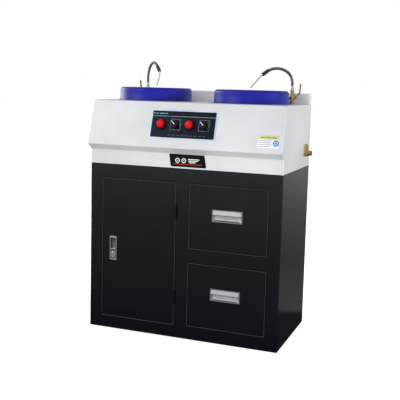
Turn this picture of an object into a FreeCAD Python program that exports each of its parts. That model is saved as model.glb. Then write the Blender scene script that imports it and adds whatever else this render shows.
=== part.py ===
import FreeCAD, Part
import math
import os

from FreeCAD import Placement, Rotation, Vector

# A floor-standing twin-disc wet grinding and polishing machine on a storage cabinet, in millimetres.
# The origin is on the floor under the centre of the cabinet; +Z is up, the front faces -Y and +X is the
# operator's right. Each function below makes one kind of piece, and save() writes it as its own STEP file.

# ---------------------------------------------------------------- cabinet
WIDTH = 800.0
DEPTH = 424.0
CABINET_H = 678.0
SHEET = 1.5                       # folded steel sheet
FRONT_Y = -DEPTH / 2
BACK_Y = DEPTH / 2
SIDE_X = WIDTH / 2
INNER_X = SIDE_X - SHEET
FRAME_RETURN = 18.0               # depth of the folded edge round each front opening
FRONT_GAP = 2.0                   # gap round the door and the drawer fronts
FRONT_EDGE_R = 2.0                # rolled edge of the door and the drawer fronts
DOOR = (-347.0, -25.5, 50.0, 621.0)            # x0, x1, z0, z1
UPPER_DRAWER = (29.5, 348.5, 363.5, 620.0)
LOWER_DRAWER = (29.5, 348.5, 53.5, 308.0)
PARTITION_X = 1.0
BASE_FLANGE_H = 25.0

# ---------------------------------------------------------------- drawers
DRAWER_BACK_Y = 165.0
DRAWER_BOX_H = 190.0
DRAWER_BOX_LIFT = 9.0             # box floor above the lower edge of its front
RAIL_H = 34.0
RAIL_W = 7.0
RAIL_CLEARANCE = 0.3
RAIL_BACK_Y = 205.0
SLIDE_SPACE = 11.0                # from the edge of the front opening to the side of the drawer box
PULL_W, PULL_H = 123.0, 48.0
PULL_DEPTH = 13.5

# ---------------------------------------------------------------- door furniture
HINGE_Z = (165.0, 506.0)
HINGE_H = 56.0
KNUCKLE_R = 5.0
HINGE_PIN_R = 2.0
RUNNING_CLEARANCE = 0.05
HINGE_X = DOOR[1] + FRONT_GAP / 2
HINGE_Y = FRONT_Y - KNUCKLE_R - 0.5
LEAF_T = 0.85
LEAF_DEPTH = 16.0
LOCK_X = -296.5
PLATE_W, PLATE_H = 31.0, 96.0
PLATE_Z = 335.0
LOCK_Z = 308.0
LOCK_R = 8.0

# ---------------------------------------------------------------- housing
HOUSING_T = 3.0
BAND_TOP_Z = 734.5
NOSE_Y, NOSE_Z = -243.5, 757.0
DECK_FRONT_Y, DECK_Z = -190.0, 932.0
SPLASHBACK_Y = 182.0
TOP_Z = 976.5
SLANT_LEAN = math.degrees(math.atan2(DECK_FRONT_Y - NOSE_Y, DECK_Z - NOSE_Z))
SLANT = Placement(Vector(0, NOSE_Y, NOSE_Z), Rotation(Vector(1, 0, 0), 90 - SLANT_LEAN))

# ---------------------------------------------------------------- controls, measured up the slanted face
PANEL_X = (-136.0, 134.0)
PANEL_UP = (37.0, 150.0)
PANEL_T = 1.5
CONTROL_UP = 92.5
BUTTON_X = (-90.5, 27.5)
KNOB_X = (-31.5, 86.5)
SWITCH_PLATE = 45.0
STEM_R = 5.5
KNOB_SHAFT_R = 3.0
BUTTON_R = 16.0
BUTTON_BASE = 11.5                # underside of the button head above the slanted face
BUTTON_HOLE_R = 11.5
KNOB_HOLE_R = 6.0
LABEL_X = (302.0, 387.0)
LABEL_UP = (18.0, 70.0)

# ---------------------------------------------------------------- wheels, basins and motors
DISC_X = 207.5
DISC_Y = -15.0
DISC_R = 115.0
DISC_TOP_Z = 940.0
DISC_T = 12.0
BASIN_R = 134.0
BASIN_T = 3.0
BASIN_FLOOR_Z = 880.0
FLANGE_R = 165.5
FLANGE_T = 2.0
RING_R = 149.0
RING_T = 3.0
RING_TOP_Z = 985.5
RING_LIP_R = 136.0
RING_ROLL = 12.0                  # radius of the ring's rolled top
SPINDLE_R = 10.0
COLLAR_R = 20.0
DRAIN_OFFSET = 107.0
DRAIN_R = 10.0
MOTOR_PLATE_Z = (862.0, 868.0)
MOTOR_R = 60.0
MOTOR_BOTTOM_Z = 696.0
MOTOR_FLANGE_R = 72.0
BOLT_CIRCLE_R = 65.0
BOLT_HOLE_R = 4.5
ROTOR_R = 32.0

# ---------------------------------------------------------------- water fittings
VALVE_X, VALVE_Y = 327.6, 160.0
STEM_Z = DECK_Z + 28.0
SPIGOT_Z = DECK_Z + 53.0
SPIGOT_R = 4.5
HOSE_R = 6.0
SLEEVE_R = 7.4
NOZZLE_R = 2.7
INLET_Y, INLET_Z = 120.0, 736.0
INLET_R = 10.48                   # G1/2 pipe thread
PIPE_R = 6.5
PIPE_GAP = 20.0                   # the copper pipe meets the valve's tail this far under the deck
DRAIN_LINE_Z = 712.0
OUTLET_R = 12.5
OUTLET_END_Y = 243.5
VALVE_HOLE_R = 10.0
GLAND_X = -300.0
GLAND_R = 9.0
CABLE_R = 4.5

# Each gooseneck leaves its valve upwards, bends over in two arcs and runs straight into the nozzle.
GOOSENECKS = {
    "right": {"side": 1, "heading": 235.5, "rise": 19.0, "arcs": ((52.0, 62.0), (115.0, 59.0)),
              "tail": 22.0, "tip": Vector(204.5, -19.5, 995.5), "bow": Vector(0, 0, 0.8)},
    "left": {"side": -1, "heading": -45.5, "rise": 23.0, "arcs": ((72.0, 75.0), (70.0, 51.0)),
             "tail": 40.0, "tip": Vector(-206.0, -15.0, 995.5), "bow": Vector(6.0, -3.0, 3.0)},
}

UP = Vector(0, 0, 1)
FORWARD = Vector(0, -1, 0)
RIGHT = Vector(1, 0, 0)


# ================================================================ helpers
def box(x0, x1, y0, y1, z0, z1):
    return Part.makeBox(x1 - x0, y1 - y0, z1 - z0, Vector(x0, y0, z0))


def rod(radius, start, direction, length):
    return Part.makeCylinder(radius, length, start, direction)


def pipe(outer, inner, start, direction, length):
    return rod(outer, start, direction, length).cut(rod(inner, start, direction, length))


def fuse(shapes):
    return shapes[0].multiFuse(shapes[1:]).removeSplitter()


def group(shapes):
    """Separate solids kept as one node, for identical or welded-up small pieces."""
    return Part.makeCompound([solid for shape in shapes for solid in shape.Solids])


def lathe(profile, x, y):
    """Turns an outline of (radius, height) points about the vertical line through x, y."""
    wire = Part.makePolygon([Vector(r, 0, z) for r, z in profile + profile[:1]])
    return Part.Face(wire).revolve(Vector(0, 0, 0), UP, 360).translated(Vector(x, y, 0))


def hexagon(across_flats, start, direction, length):
    corner = across_flats / math.sqrt(3)
    points = [Vector(corner * math.cos(math.radians(60 * i)), corner * math.sin(math.radians(60 * i)), 0)
              for i in range(7)]
    prism = Part.Face(Part.makePolygon(points)).extrude(UP * length)
    turn = Placement(start, Rotation(UP, direction))
    return prism.transformed(turn.toMatrix())


def rounded_outline(corners, radii):
    """A closed wire through the corners in the YZ plane, with an arc of the given radius at each one."""
    edges, ends = [], []
    count = len(corners)
    for i in range(count):
        here = Vector(0, *corners[i])
        back = (Vector(0, *corners[i - 1]) - here).normalize()
        ahead = (Vector(0, *corners[(i + 1) % count]) - here).normalize()
        half = back.getAngle(ahead) / 2
        if radii[i] == 0:
            ends.append((here, here))
            continue
        reach = radii[i] / math.tan(half)
        centre = here + (back + ahead).normalize() * (radii[i] / math.sin(half))
        middle = centre + (here - centre).normalize() * radii[i]
        first, last = here + back * reach, here + ahead * reach
        edges.append(Part.Arc(first, middle, last).toShape())
        ends.append((first, last))
    for i in range(count):
        edges.append(Part.LineSegment(ends[i - 1][1], ends[i][0]).toShape())
    return Part.Wire(Part.__sortEdges__(edges))


def inset(corners, distance):
    """The outline's corners moved inwards by the wall thickness."""
    moved = []
    count = len(corners)
    for i in range(count):
        lines = []
        for a, b in ((corners[i - 1], corners[i]), (corners[i], corners[(i + 1) % count])):
            dy, dz = b[0] - a[0], b[1] - a[1]
            length = math.hypot(dy, dz)
            normal = (dz / length, -dy / length)
            lines.append((normal, normal[0] * a[0] + normal[1] * a[1] + distance))
        (n1, d1), (n2, d2) = lines
        det = n1[0] * n2[1] - n1[1] * n2[0]
        moved.append(((d1 * n2[1] - d2 * n1[1]) / det, (n1[0] * d2 - n2[0] * d1) / det))
    return moved


def rounded_edges(shape, radius, wanted):
    edges = [edge for edge in shape.Edges if wanted(edge)]
    return shape.makeFillet(radius, edges)


def on_slant(shape):
    """Moves a shape made flat (X, up the slope, outwards) on to the slanted control face."""
    return shape.transformed(SLANT.toMatrix())


def mirrored(shape):
    return shape.mirror(Vector(0, 0, 0), RIGHT)


def save(name, shape):
    solids = shape.Solids
    if not shape.isValid() or not solids or min(solid.Volume for solid in solids) <= 0:
        raise RuntimeError(name + " is not a valid solid")
    shape.exportStep("parts/" + name + ".step")
    print(name, len(solids), round(shape.Volume / 1000.0, 1), "cm3")


# ================================================================ cabinet shell
def base_pan():
    pan = box(-INNER_X, INNER_X, FRONT_Y + SHEET, BACK_Y - SHEET, 0, BASE_FLANGE_H)
    inner = box(-INNER_X + SHEET, INNER_X - SHEET, FRONT_Y + 2 * SHEET, BACK_Y - 2 * SHEET,
                SHEET, BASE_FLANGE_H)
    return pan.cut(inner)


def side_panel(side):
    panel = box(INNER_X, SIDE_X, FRONT_Y, BACK_Y, 0, CABINET_H)
    panel = rounded_edges(panel, 1.2, lambda e: e.CenterOfMass.x > INNER_X + 1 and e.Length > CABINET_H - 1)
    return panel if side > 0 else mirrored(panel)


def back_panel():
    slot_w, slot_h, pitch, rows = 90.0, 5.0, 14.0, 8
    panel = box(-INNER_X, INNER_X, BACK_Y - SHEET, BACK_Y, 0, CABINET_H - SHEET)
    slots = []
    for x in (-DISC_X, DISC_X):
        for row in range(rows):
            z = 520.0 + row * pitch
            slots.append(box(x - slot_w / 2, x + slot_w / 2, BACK_Y - 3, BACK_Y + 1, z, z + slot_h))
    return panel.cut(Part.makeCompound(slots))


def opening_edges(outline):
    x0, x1, z0, z1 = outline
    return x0 - FRONT_GAP, x1 + FRONT_GAP, z0 - FRONT_GAP, z1 + FRONT_GAP


def face_frame():
    sheet = box(-INNER_X, INNER_X, FRONT_Y, FRONT_Y + SHEET, 0, CABINET_H - SHEET)
    returns, holes = [], []
    for outline in (DOOR, UPPER_DRAWER, LOWER_DRAWER):
        x0, x1, z0, z1 = opening_edges(outline)
        back = FRONT_Y + FRAME_RETURN
        returns.append(box(x0 - SHEET, x1 + SHEET, FRONT_Y, back, z0 - SHEET, z1 + SHEET))
        holes.append(box(x0, x1, FRONT_Y - 1, back + 1, z0, z1))
    return fuse([sheet] + returns).cut(Part.makeCompound(holes))


def centre_partition():
    flange = 15.0
    y0, y1 = FRONT_Y + SHEET, BACK_Y - SHEET
    z0, z1 = SHEET, CABINET_H - SHEET
    web = box(PARTITION_X, PARTITION_X + SHEET, y0, y1, z0, z1)
    front = box(PARTITION_X, PARTITION_X + flange, y0, y0 + SHEET, z0, z1)
    back = box(PARTITION_X, PARTITION_X + flange, y1 - SHEET, y1, z0, z1)
    wall = fuse([web, front, back])
    low_x, high_x, notch_top = PARTITION_X - 1, PARTITION_X + flange + 1, BASE_FLANGE_H + 0.2
    for a, b in ((y0 - 1, y0 + SHEET + 0.2), (y1 - SHEET - 0.2, y1 + 1)):
        wall = wall.cut(box(low_x, high_x, a, b, z0 - 1, notch_top))
    return wall


def cabinet_top():
    hole_r, rim_w, rim_h = 82.0, 3.0, 6.0
    shape = box(-INNER_X, INNER_X, FRONT_Y, BACK_Y, CABINET_H - SHEET, CABINET_H)
    for x in (-DISC_X, DISC_X):
        shape = shape.fuse(rod(hole_r + rim_w, Vector(x, DISC_Y, CABINET_H - rim_h), UP, rim_h))
        shape = shape.cut(rod(hole_r, Vector(x, DISC_Y, CABINET_H - 10), UP, 20))
    return shape.removeSplitter()


# ================================================================ door
def folded_front(outline, lip=14.0):
    """A pan folded from sheet: flat front, four returns and a lip round the open back."""
    x0, x1, z0, z1 = outline
    back = FRONT_Y + FRAME_RETURN
    pan = box(x0, x1, FRONT_Y, back, z0, z1)
    pan = rounded_edges(pan, FRONT_EDGE_R, lambda e: abs(e.CenterOfMass.y - FRONT_Y) < 0.1)
    inner = box(x0 + SHEET, x1 - SHEET, FRONT_Y + SHEET, back - SHEET, z0 + SHEET, z1 - SHEET)
    window = box(x0 + lip, x1 - lip, back - 2 * SHEET, back + 1, z0 + lip, z1 - lip)
    return pan.cut(inner).cut(window)


def door_panel():
    """The door: a folded pan with a hole for the flush pull and a hat stiffener inside."""
    inset_x, depth, low, high = 40, FRAME_RETURN - 4, 480, 520
    hole_w, hole_h = PLATE_W - 5, PLATE_H - 5
    hole = box(LOCK_X - hole_w / 2, LOCK_X + hole_w / 2, FRONT_Y - 1, FRONT_Y + 5,
               PLATE_Z - hole_h / 2, PLATE_Z + hole_h / 2)
    x0, x1, back = DOOR[0] + inset_x, DOOR[1] - inset_x, FRONT_Y + depth
    stiffener = box(x0, x1, FRONT_Y + SHEET, back, low, high)
    hollow = box(x0 + SHEET, x1 - SHEET, FRONT_Y, back - SHEET, low + SHEET, high - SHEET)
    return folded_front(DOOR).cut(hole).fuse(stiffener.cut(hollow)).removeSplitter()


def hinge_knuckle(z0, z1):
    return rod(KNUCKLE_R, Vector(HINGE_X, HINGE_Y, z0), UP, z1 - z0)


def hinge_leaf(x0, x1, z0, z1):
    return box(x0, x1, HINGE_Y, FRONT_Y + LEAF_DEPTH, z0, z1)


def hinge_segments(middle_z):
    third = HINGE_H / 3
    low = middle_z - HINGE_H / 2
    return low, low + third, low + 2 * third, low + HINGE_H


def door_hinge_leaves():
    gap = 0.3
    leaves = []
    for z in HINGE_Z:
        z0, z1, z2, z3 = hinge_segments(z)
        bore = rod(HINGE_PIN_R + RUNNING_CLEARANCE, Vector(HINGE_X, HINGE_Y, z0 - 1), UP, HINGE_H + 2)
        wide = hinge_leaf(HINGE_X - 0.1 - LEAF_T, HINGE_X - 0.1, z0, z3)
        clear = KNUCKLE_R + 0.4
        notch = box(HINGE_X - KNUCKLE_R - 1, HINGE_X + 1, HINGE_Y - 1, HINGE_Y + clear, z1 - gap, z2 + gap)
        leaf = fuse([wide.cut(notch), hinge_knuckle(z0, z1 - gap), hinge_knuckle(z2 + gap, z3)])
        leaves.append(leaf.cut(bore))
    return group(leaves)


def hinge_fixed_leaves():
    gap = 0.3
    leaves = []
    for z in HINGE_Z:
        z0, z1, z2, z3 = hinge_segments(z)
        wide = hinge_leaf(HINGE_X + 0.1, HINGE_X + 0.1 + LEAF_T, z0, z3)
        clear = KNUCKLE_R + 0.4
        for a, b in ((z0, z1), (z2, z3)):
            wide = wide.cut(box(HINGE_X - 1, HINGE_X + 3, HINGE_Y - 1, HINGE_Y + clear, a - gap, b + gap))
        pin = rod(HINGE_PIN_R, Vector(HINGE_X, HINGE_Y, z0), UP, HINGE_H)
        knuckle = hinge_knuckle(z1 + gap / 2, z2 - gap / 2)
        leaves.append(fuse([wide, knuckle, pin]))
    return group(leaves)


def door_handle_plate():
    """A flush pull: a plate with a finger cup above and the lock below."""
    proud, cup_depth, wall = 1.4, 11.5, 1.2
    cup_w, cup_h = 22.0, 46.0
    cup_z = PLATE_Z + 20.0
    plate = box(LOCK_X - PLATE_W / 2, LOCK_X + PLATE_W / 2, FRONT_Y - proud, FRONT_Y,
                PLATE_Z - PLATE_H / 2, PLATE_Z + PLATE_H / 2)
    plate = rounded_edges(plate, 2.5, lambda e: e.Length < proud + 0.01)
    cup = box(LOCK_X - cup_w / 2 - wall, LOCK_X + cup_w / 2 + wall, FRONT_Y - 0.5, FRONT_Y + cup_depth,
              cup_z - cup_h / 2 - wall, cup_z + cup_h / 2 + wall)
    hollow = box(LOCK_X - cup_w / 2, LOCK_X + cup_w / 2, FRONT_Y - 5, FRONT_Y + cup_depth - wall,
                 cup_z - cup_h / 2, cup_z + cup_h / 2)
    lock_hole = rod(LOCK_R + RUNNING_CLEARANCE, Vector(LOCK_X, FRONT_Y - 5, LOCK_Z), -FORWARD, 30)
    barrel = rod(LOCK_R + 2.5, Vector(LOCK_X, FRONT_Y - 0.5, LOCK_Z), -FORWARD, 16)
    return fuse([plate, cup, barrel]).cut(hollow).cut(lock_hole)


def door_lock():
    """The key cylinder with its cam, which points up while the door is unlocked."""
    cam_w, cam_t, cam_len = 15.0, 2.0, 58.0
    cam_y = FRONT_Y + FRAME_RETURN + 1.6
    cylinder = rod(LOCK_R, Vector(LOCK_X, FRONT_Y - 2.2, LOCK_Z), -FORWARD, 2.2 + FRAME_RETURN + 1.6 + cam_t)
    cam = box(LOCK_X - cam_w / 2, LOCK_X + cam_w / 2, cam_y, cam_y + cam_t, LOCK_Z, LOCK_Z + cam_len)
    cam = rounded_edges(cam, 4.0, lambda e: e.Length < cam_t + 0.01 and e.CenterOfMass.z > LOCK_Z + 10)
    eye = rod(LOCK_R + 2, Vector(LOCK_X, cam_y, LOCK_Z), -FORWARD, cam_t)
    key_slot = box(LOCK_X - 0.8, LOCK_X + 0.8, FRONT_Y - 3, FRONT_Y + 8, LOCK_Z - 4, LOCK_Z + 4)
    return fuse([cylinder, cam, eye]).cut(key_slot)


# ================================================================ drawers
def rail_centre_z(outline):
    return (outline[2] + DRAWER_BOX_LIFT) + DRAWER_BOX_H * 0.45


def drawer_rails_fixed():
    rails = []
    for outline in (UPPER_DRAWER, LOWER_DRAWER):
        x0, x1, _, _ = opening_edges(outline)
        z = rail_centre_z(outline)
        front, back = FRONT_Y + FRAME_RETURN + 0.5, RAIL_BACK_Y
        inside = RAIL_H / 2 - SHEET
        left = box(x0, x0 + RAIL_W, front, back, z - RAIL_H / 2, z + RAIL_H / 2)
        rails.append(left.cut(box(x0 + SHEET, x0 + RAIL_W + 1, front - 1, back + 1, z - inside, z + inside)))
        right = box(x1 - RAIL_W, x1, front, back, z - RAIL_H / 2, z + RAIL_H / 2)
        rails.append(right.cut(box(x1 - RAIL_W - 1, x1 - SHEET, front - 1, back + 1, z - inside, z + inside)))
        for edge, outer in ((x0, PARTITION_X + SHEET), (x1, INNER_X)):
            low, high = min(edge, outer), max(edge, outer)
            for y in (-120.0, 150.0):
                rails.append(box(low, high, y, y + 20, z - 12, z + 12).cut(
                    box(low - 1, high + 1, y + SHEET, y + 21, z - 12 + SHEET, z + 12 - SHEET)))
    return group(rails)


def drawer_box(outline):
    x0, x1, _, _ = opening_edges(outline)
    left, right = x0 + SLIDE_SPACE, x1 - SLIDE_SPACE
    front, back = FRONT_Y + FRAME_RETURN, DRAWER_BACK_Y
    floor = outline[2] + DRAWER_BOX_LIFT
    top = floor + DRAWER_BOX_H
    tray = box(left, right, front, back, floor, top)
    tray = tray.cut(box(left + SHEET, right - SHEET, front + SHEET, back - SHEET, floor + SHEET, top + 1))
    z = rail_centre_z(outline)
    half = RAIL_H / 2 - SHEET - RAIL_CLEARANCE
    runners = [box(x0 + SHEET + RAIL_CLEARANCE, left, front + 1, back, z - half, z + half),
               box(right, x1 - SHEET - RAIL_CLEARANCE, front + 1, back, z - half, z + half)]
    return fuse([tray] + runners)


def pull_centre(outline):
    return (outline[0] + outline[1]) / 2 - 2, (outline[2] + outline[3]) / 2 + 12


def drawer_front(outline):
    x, z = pull_centre(outline)
    hole = box(x - PULL_W / 2 + 4, x + PULL_W / 2 - 4, FRONT_Y - 1, FRONT_Y + 5,
               z - PULL_H / 2 + 4, z + PULL_H / 2 - 4)
    return folded_front(outline).cut(hole)


def drawer_pull(outline):
    """A recessed pull: a rimmed cup with a rolled grip across its upper half."""
    proud, wall, rim = 1.8, 1.2, 4.0
    x, z = pull_centre(outline)
    rim_plate = box(x - PULL_W / 2, x + PULL_W / 2, FRONT_Y - proud, FRONT_Y, z - PULL_H / 2, z + PULL_H / 2)
    rim_plate = rounded_edges(rim_plate, 2.0, lambda e: e.Length < proud + 0.01)
    cup_x, cup_z = PULL_W / 2 - rim, PULL_H / 2 - rim
    cup = box(x - cup_x, x + cup_x, FRONT_Y - 1, FRONT_Y + PULL_DEPTH, z - cup_z, z + cup_z)
    hollow = box(x - cup_x + wall, x + cup_x - wall, FRONT_Y - 5, FRONT_Y + PULL_DEPTH - wall,
                 z - cup_z + wall, z + cup_z - wall)
    shell = fuse([rim_plate, cup]).cut(hollow)
    grip = box(x - cup_x, x + cup_x, FRONT_Y - 3.6, FRONT_Y - 0.4, z + 2.0, z + PULL_H / 2 - 1)
    grip = rounded_edges(grip, 1.4, lambda e: e.Length > PULL_W / 2)
    return fuse([shell, grip])


# ================================================================ housing
HOUSING_CORNERS = [(FRONT_Y, CABINET_H), (FRONT_Y, BAND_TOP_Z), (NOSE_Y, NOSE_Z), (DECK_FRONT_Y, DECK_Z),
                   (BACK_Y, DECK_Z), (BACK_Y, CABINET_H)]
HOUSING_RADII = [0, 3.0, 5.0, 5.0, 0, 0]


def housing_shell():
    outer = Part.Face(rounded_outline(HOUSING_CORNERS, HOUSING_RADII)).extrude(Vector(WIDTH, 0, 0))
    outer = outer.translated(Vector(-SIDE_X, 0, 0))
    rims = lambda e: abs(abs(e.CenterOfMass.x) - SIDE_X) < 0.01 and e.CenterOfMass.z > CABINET_H + 0.1
    outer = rounded_edges(outer, 2.0, rims)
    lining = Part.Face(rounded_outline(inset(HOUSING_CORNERS, HOUSING_T), [0] * len(HOUSING_CORNERS)))
    inner = lining.extrude(Vector(WIDTH - 2 * HOUSING_T, 0, 0)).translated(Vector(HOUSING_T - SIDE_X, 0, 0))
    mouth = box(HOUSING_T - SIDE_X, SIDE_X - HOUSING_T, FRONT_Y + HOUSING_T, BACK_Y - HOUSING_T,
                CABINET_H - 1, CABINET_H + 2 * HOUSING_T)
    shell = outer.cut(inner).cut(mouth)
    holes = [rod(INLET_R + 0.3, Vector(SIDE_X - 10, INLET_Y, INLET_Z), RIGHT, 20),
             rod(OUTLET_R + 0.5, Vector(0, BACK_Y - 10, DRAIN_LINE_Z), -FORWARD, 20),
             rod(GLAND_R + 0.2, Vector(GLAND_X, BACK_Y - 10, DRAIN_LINE_Z), -FORWARD, 20)]
    for side in (-1, 1):
        holes.append(rod(BASIN_R + 0.5, Vector(side * DISC_X, DISC_Y, DECK_Z - 10), UP, 20))
        holes.append(rod(VALVE_HOLE_R, Vector(side * VALVE_X, VALVE_Y, DECK_Z - 10), UP, 20))
    for x in BUTTON_X:
        holes.append(on_slant(rod(BUTTON_HOLE_R, Vector(x, CONTROL_UP, -10), UP, 20)))
    for x in KNOB_X:
        holes.append(on_slant(rod(KNOB_HOLE_R, Vector(x, CONTROL_UP, -10), UP, 20)))
    for hole in holes:
        shell = shell.cut(hole)
    return shell


def splashback():
    """The hollow upstand along the back of the deck."""
    outer = box(-SIDE_X, SIDE_X, SPLASHBACK_Y, BACK_Y, DECK_Z, TOP_Z)
    outer = rounded_edges(outer, 3.0, lambda e: e.CenterOfMass.z > DECK_Z + 0.1)
    wall = HOUSING_T
    y0, y1 = SPLASHBACK_Y + wall, BACK_Y - wall
    return outer.cut(box(wall - SIDE_X, SIDE_X - wall, y0, y1, DECK_Z - 1, TOP_Z - wall))


def control_panel():
    plate = box(PANEL_X[0], PANEL_X[1], PANEL_UP[0], PANEL_UP[1], 0, PANEL_T)
    plate = rounded_edges(plate, 1.5, lambda e: e.Length < PANEL_T + 0.01)
    for x in BUTTON_X:
        plate = plate.cut(rod(BUTTON_HOLE_R, Vector(x, CONTROL_UP, -1), UP, 5))
    for x in KNOB_X:
        plate = plate.cut(rod(KNOB_HOLE_R, Vector(x, CONTROL_UP, -1), UP, 5))
    return on_slant(plate)


def badge_plate():
    """A blank name plate shaped as a leaning parallelogram, on the band under the overhang."""
    top_x, bottom_x, z0, z1, thick = (-58.0, 88.0), (-50.0, 97.0), 684.0, 733.0, 1.6
    corners = [Vector(bottom_x[0], FRONT_Y, z0), Vector(bottom_x[1], FRONT_Y, z0),
               Vector(top_x[1], FRONT_Y, z1), Vector(top_x[0], FRONT_Y, z1)]
    plate = Part.Face(Part.makePolygon(corners + corners[:1])).extrude(FORWARD * thick)
    return rounded_edges(plate, 5.0, lambda e: e.Length < thick + 0.01)


def info_label():
    label = box(LABEL_X[0], LABEL_X[1], LABEL_UP[0], LABEL_UP[1], 0, 0.4)
    return on_slant(rounded_edges(label, 2.0, lambda e: e.Length < 0.41))


# ================================================================ controls
def switch_plates():
    plates = []
    for x in KNOB_X:
        half = SWITCH_PLATE / 2
        plate = box(x - half, x + half, CONTROL_UP - half, CONTROL_UP + half, PANEL_T, PANEL_T + 2)
        plate = rounded_edges(plate, 3.0, lambda e: e.Length < 2.01)
        plates.append(on_slant(plate.cut(rod(KNOB_HOLE_R, Vector(x, CONTROL_UP, 0), UP, 5))))
    return group(plates)


def switch_bodies():
    """Rotary cam switches behind the panel, with the bore that each knob's shaft turns in."""
    body_w, body_len, neck = 40.0, 46.0, 5.5
    bodies = []
    for x in KNOB_X:
        block = box(x - body_w / 2, x + body_w / 2, CONTROL_UP - body_w / 2, CONTROL_UP + body_w / 2,
                    -HOUSING_T - body_len, -HOUSING_T)
        block = rounded_edges(block, 3.0, lambda e: e.Length > body_len - 0.01)
        tower = rod(neck, Vector(x, CONTROL_UP, -HOUSING_T), UP, HOUSING_T + PANEL_T + 1.5)
        bore = rod(KNOB_SHAFT_R + RUNNING_CLEARANCE, Vector(x, CONTROL_UP, -30), UP, 40)
        bodies.append(on_slant(block.fuse(tower).cut(bore)))
    return group(bodies)


def selector_knob(x):
    """A round knob with a raised grip; the grip's pointed end starts at the upper left."""
    base_r, base_h, grip_w, grip_h = 16.5, 7.0, 9.0, 11.5
    low = PANEL_T + 2.5
    base = rod(base_r, Vector(0, 0, low), UP, base_h)
    base = rounded_edges(base, 1.5, lambda e: e.CenterOfMass.z > low + 1)
    grip = box(-grip_w / 2, grip_w / 2, -base_r, base_r + 4.5, low + 1, low + base_h + grip_h)
    grip = rounded_edges(grip, 2.5, lambda e: e.CenterOfMass.z > low + 10)
    shaft = rod(KNOB_SHAFT_R, Vector(0, 0, -26), UP, 32)
    knob = fuse([base, grip, shaft])
    knob = knob.rotate(Vector(0, 0, 0), UP, 45)
    return on_slant(knob.translated(Vector(x, CONTROL_UP, 0)))


def button_bodies():
    """Collar, barrel, locking ring and contact block of each push button."""
    bodies = []
    for x in BUTTON_X:
        centre = Vector(x, CONTROL_UP, 0)
        collar = rod(15.0, centre + UP * PANEL_T, UP, 3.5)
        collar = rounded_edges(collar, 1.0, lambda e: e.CenterOfMass.z > PANEL_T + 3)
        barrel = rod(11.0, centre - UP * 25, UP, 25 + PANEL_T + 1)
        ring = rod(15.0, centre - UP * 8, UP, 5.0)
        block = box(x - 15, x + 15, CONTROL_UP - 20, CONTROL_UP + 20, -52, -25)
        bore = rod(STEM_R + RUNNING_CLEARANCE, centre - UP * 30, UP, 50)
        bodies.append(on_slant(fuse([collar, barrel, ring, block]).cut(bore)))
    return group(bodies)


def button_head(x):
    stem = rod(STEM_R, Vector(x, CONTROL_UP, -24), UP, 24 + BUTTON_BASE + 1)
    skirt_h, dome_h = 5.0, 6.5
    head = rod(BUTTON_R, Vector(x, CONTROL_UP, BUTTON_BASE), UP, skirt_h + dome_h)
    head = rounded_edges(head, 5.5, lambda e: e.CenterOfMass.z > BUTTON_BASE + skirt_h)
    neck = rod(10.5, Vector(x, CONTROL_UP, BUTTON_BASE - 1.2), UP, 2)
    return on_slant(fuse([head, neck, stem]))


# ================================================================ basins, rings and wheels
def basin(side):
    """A tub hung in the deck by its flange, with a raised collar round the spindle and a drain stub."""
    floor_top = BASIN_FLOOR_Z + BASIN_T
    flange_top = DECK_Z + FLANGE_T
    collar_in, collar_top = COLLAR_R - 4, 905.0
    profile = [(collar_in, BASIN_FLOOR_Z), (BASIN_R, BASIN_FLOOR_Z), (BASIN_R, DECK_Z), (FLANGE_R, DECK_Z),
               (FLANGE_R, flange_top), (BASIN_R - BASIN_T, flange_top), (BASIN_R - BASIN_T, floor_top),
               (COLLAR_R, floor_top), (COLLAR_R, collar_top), (collar_in, collar_top)]
    x = side * DISC_X
    tub = lathe(profile, x, DISC_Y)
    stub = rod(DRAIN_R + 2.5, Vector(x, DISC_Y + DRAIN_OFFSET, BASIN_FLOOR_Z - 18), UP, 18.5)
    hole = rod(DRAIN_R, Vector(x, DISC_Y + DRAIN_OFFSET, BASIN_FLOOR_Z - 30), UP, 40)
    return fuse([tub, stub]).cut(hole)


def splash_ring(side):
    """The upright guard round a wheel, with a rounded top that turns in to a narrow lip."""
    low, roll = DECK_Z + FLANGE_T, RING_ROLL
    outer, inner = RING_R, RING_R - RING_T
    foot_r, foot_h = BASIN_R - BASIN_T + 4, 3.0
    top = RING_TOP_Z
    bend = roll * (1 - math.cos(math.radians(45)))
    inner_roll = roll - RING_T
    inner_bend = inner_roll * (1 - math.cos(math.radians(45)))
    v = lambda r, z: Vector(r, 0, z)
    line = lambda a, b: Part.LineSegment(a, b).toShape()
    arc = lambda a, b, c: Part.Arc(a, b, c).toShape()
    edges = [
        line(v(foot_r, low), v(outer, low)),
        line(v(outer, low), v(outer, top - roll)),
        arc(v(outer, top - roll), v(outer - bend, top - bend), v(outer - roll, top)),
        line(v(outer - roll, top), v(RING_LIP_R, top)),
        line(v(RING_LIP_R, top), v(RING_LIP_R, top - RING_T)),
        line(v(RING_LIP_R, top - RING_T), v(outer - roll, top - RING_T)),
        arc(v(outer - roll, top - RING_T), v(inner - inner_bend, top - RING_T - inner_bend),
            v(inner, top - roll)),
        line(v(inner, top - roll), v(inner, low + foot_h)),
        line(v(inner, low + foot_h), v(foot_r, low + foot_h)),
        line(v(foot_r, low + foot_h), v(foot_r, low)),
    ]
    ring = Part.Face(Part.Wire(edges)).revolve(Vector(0, 0, 0), UP, 360)
    return ring.translated(Vector(side * DISC_X, DISC_Y, 0))


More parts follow.
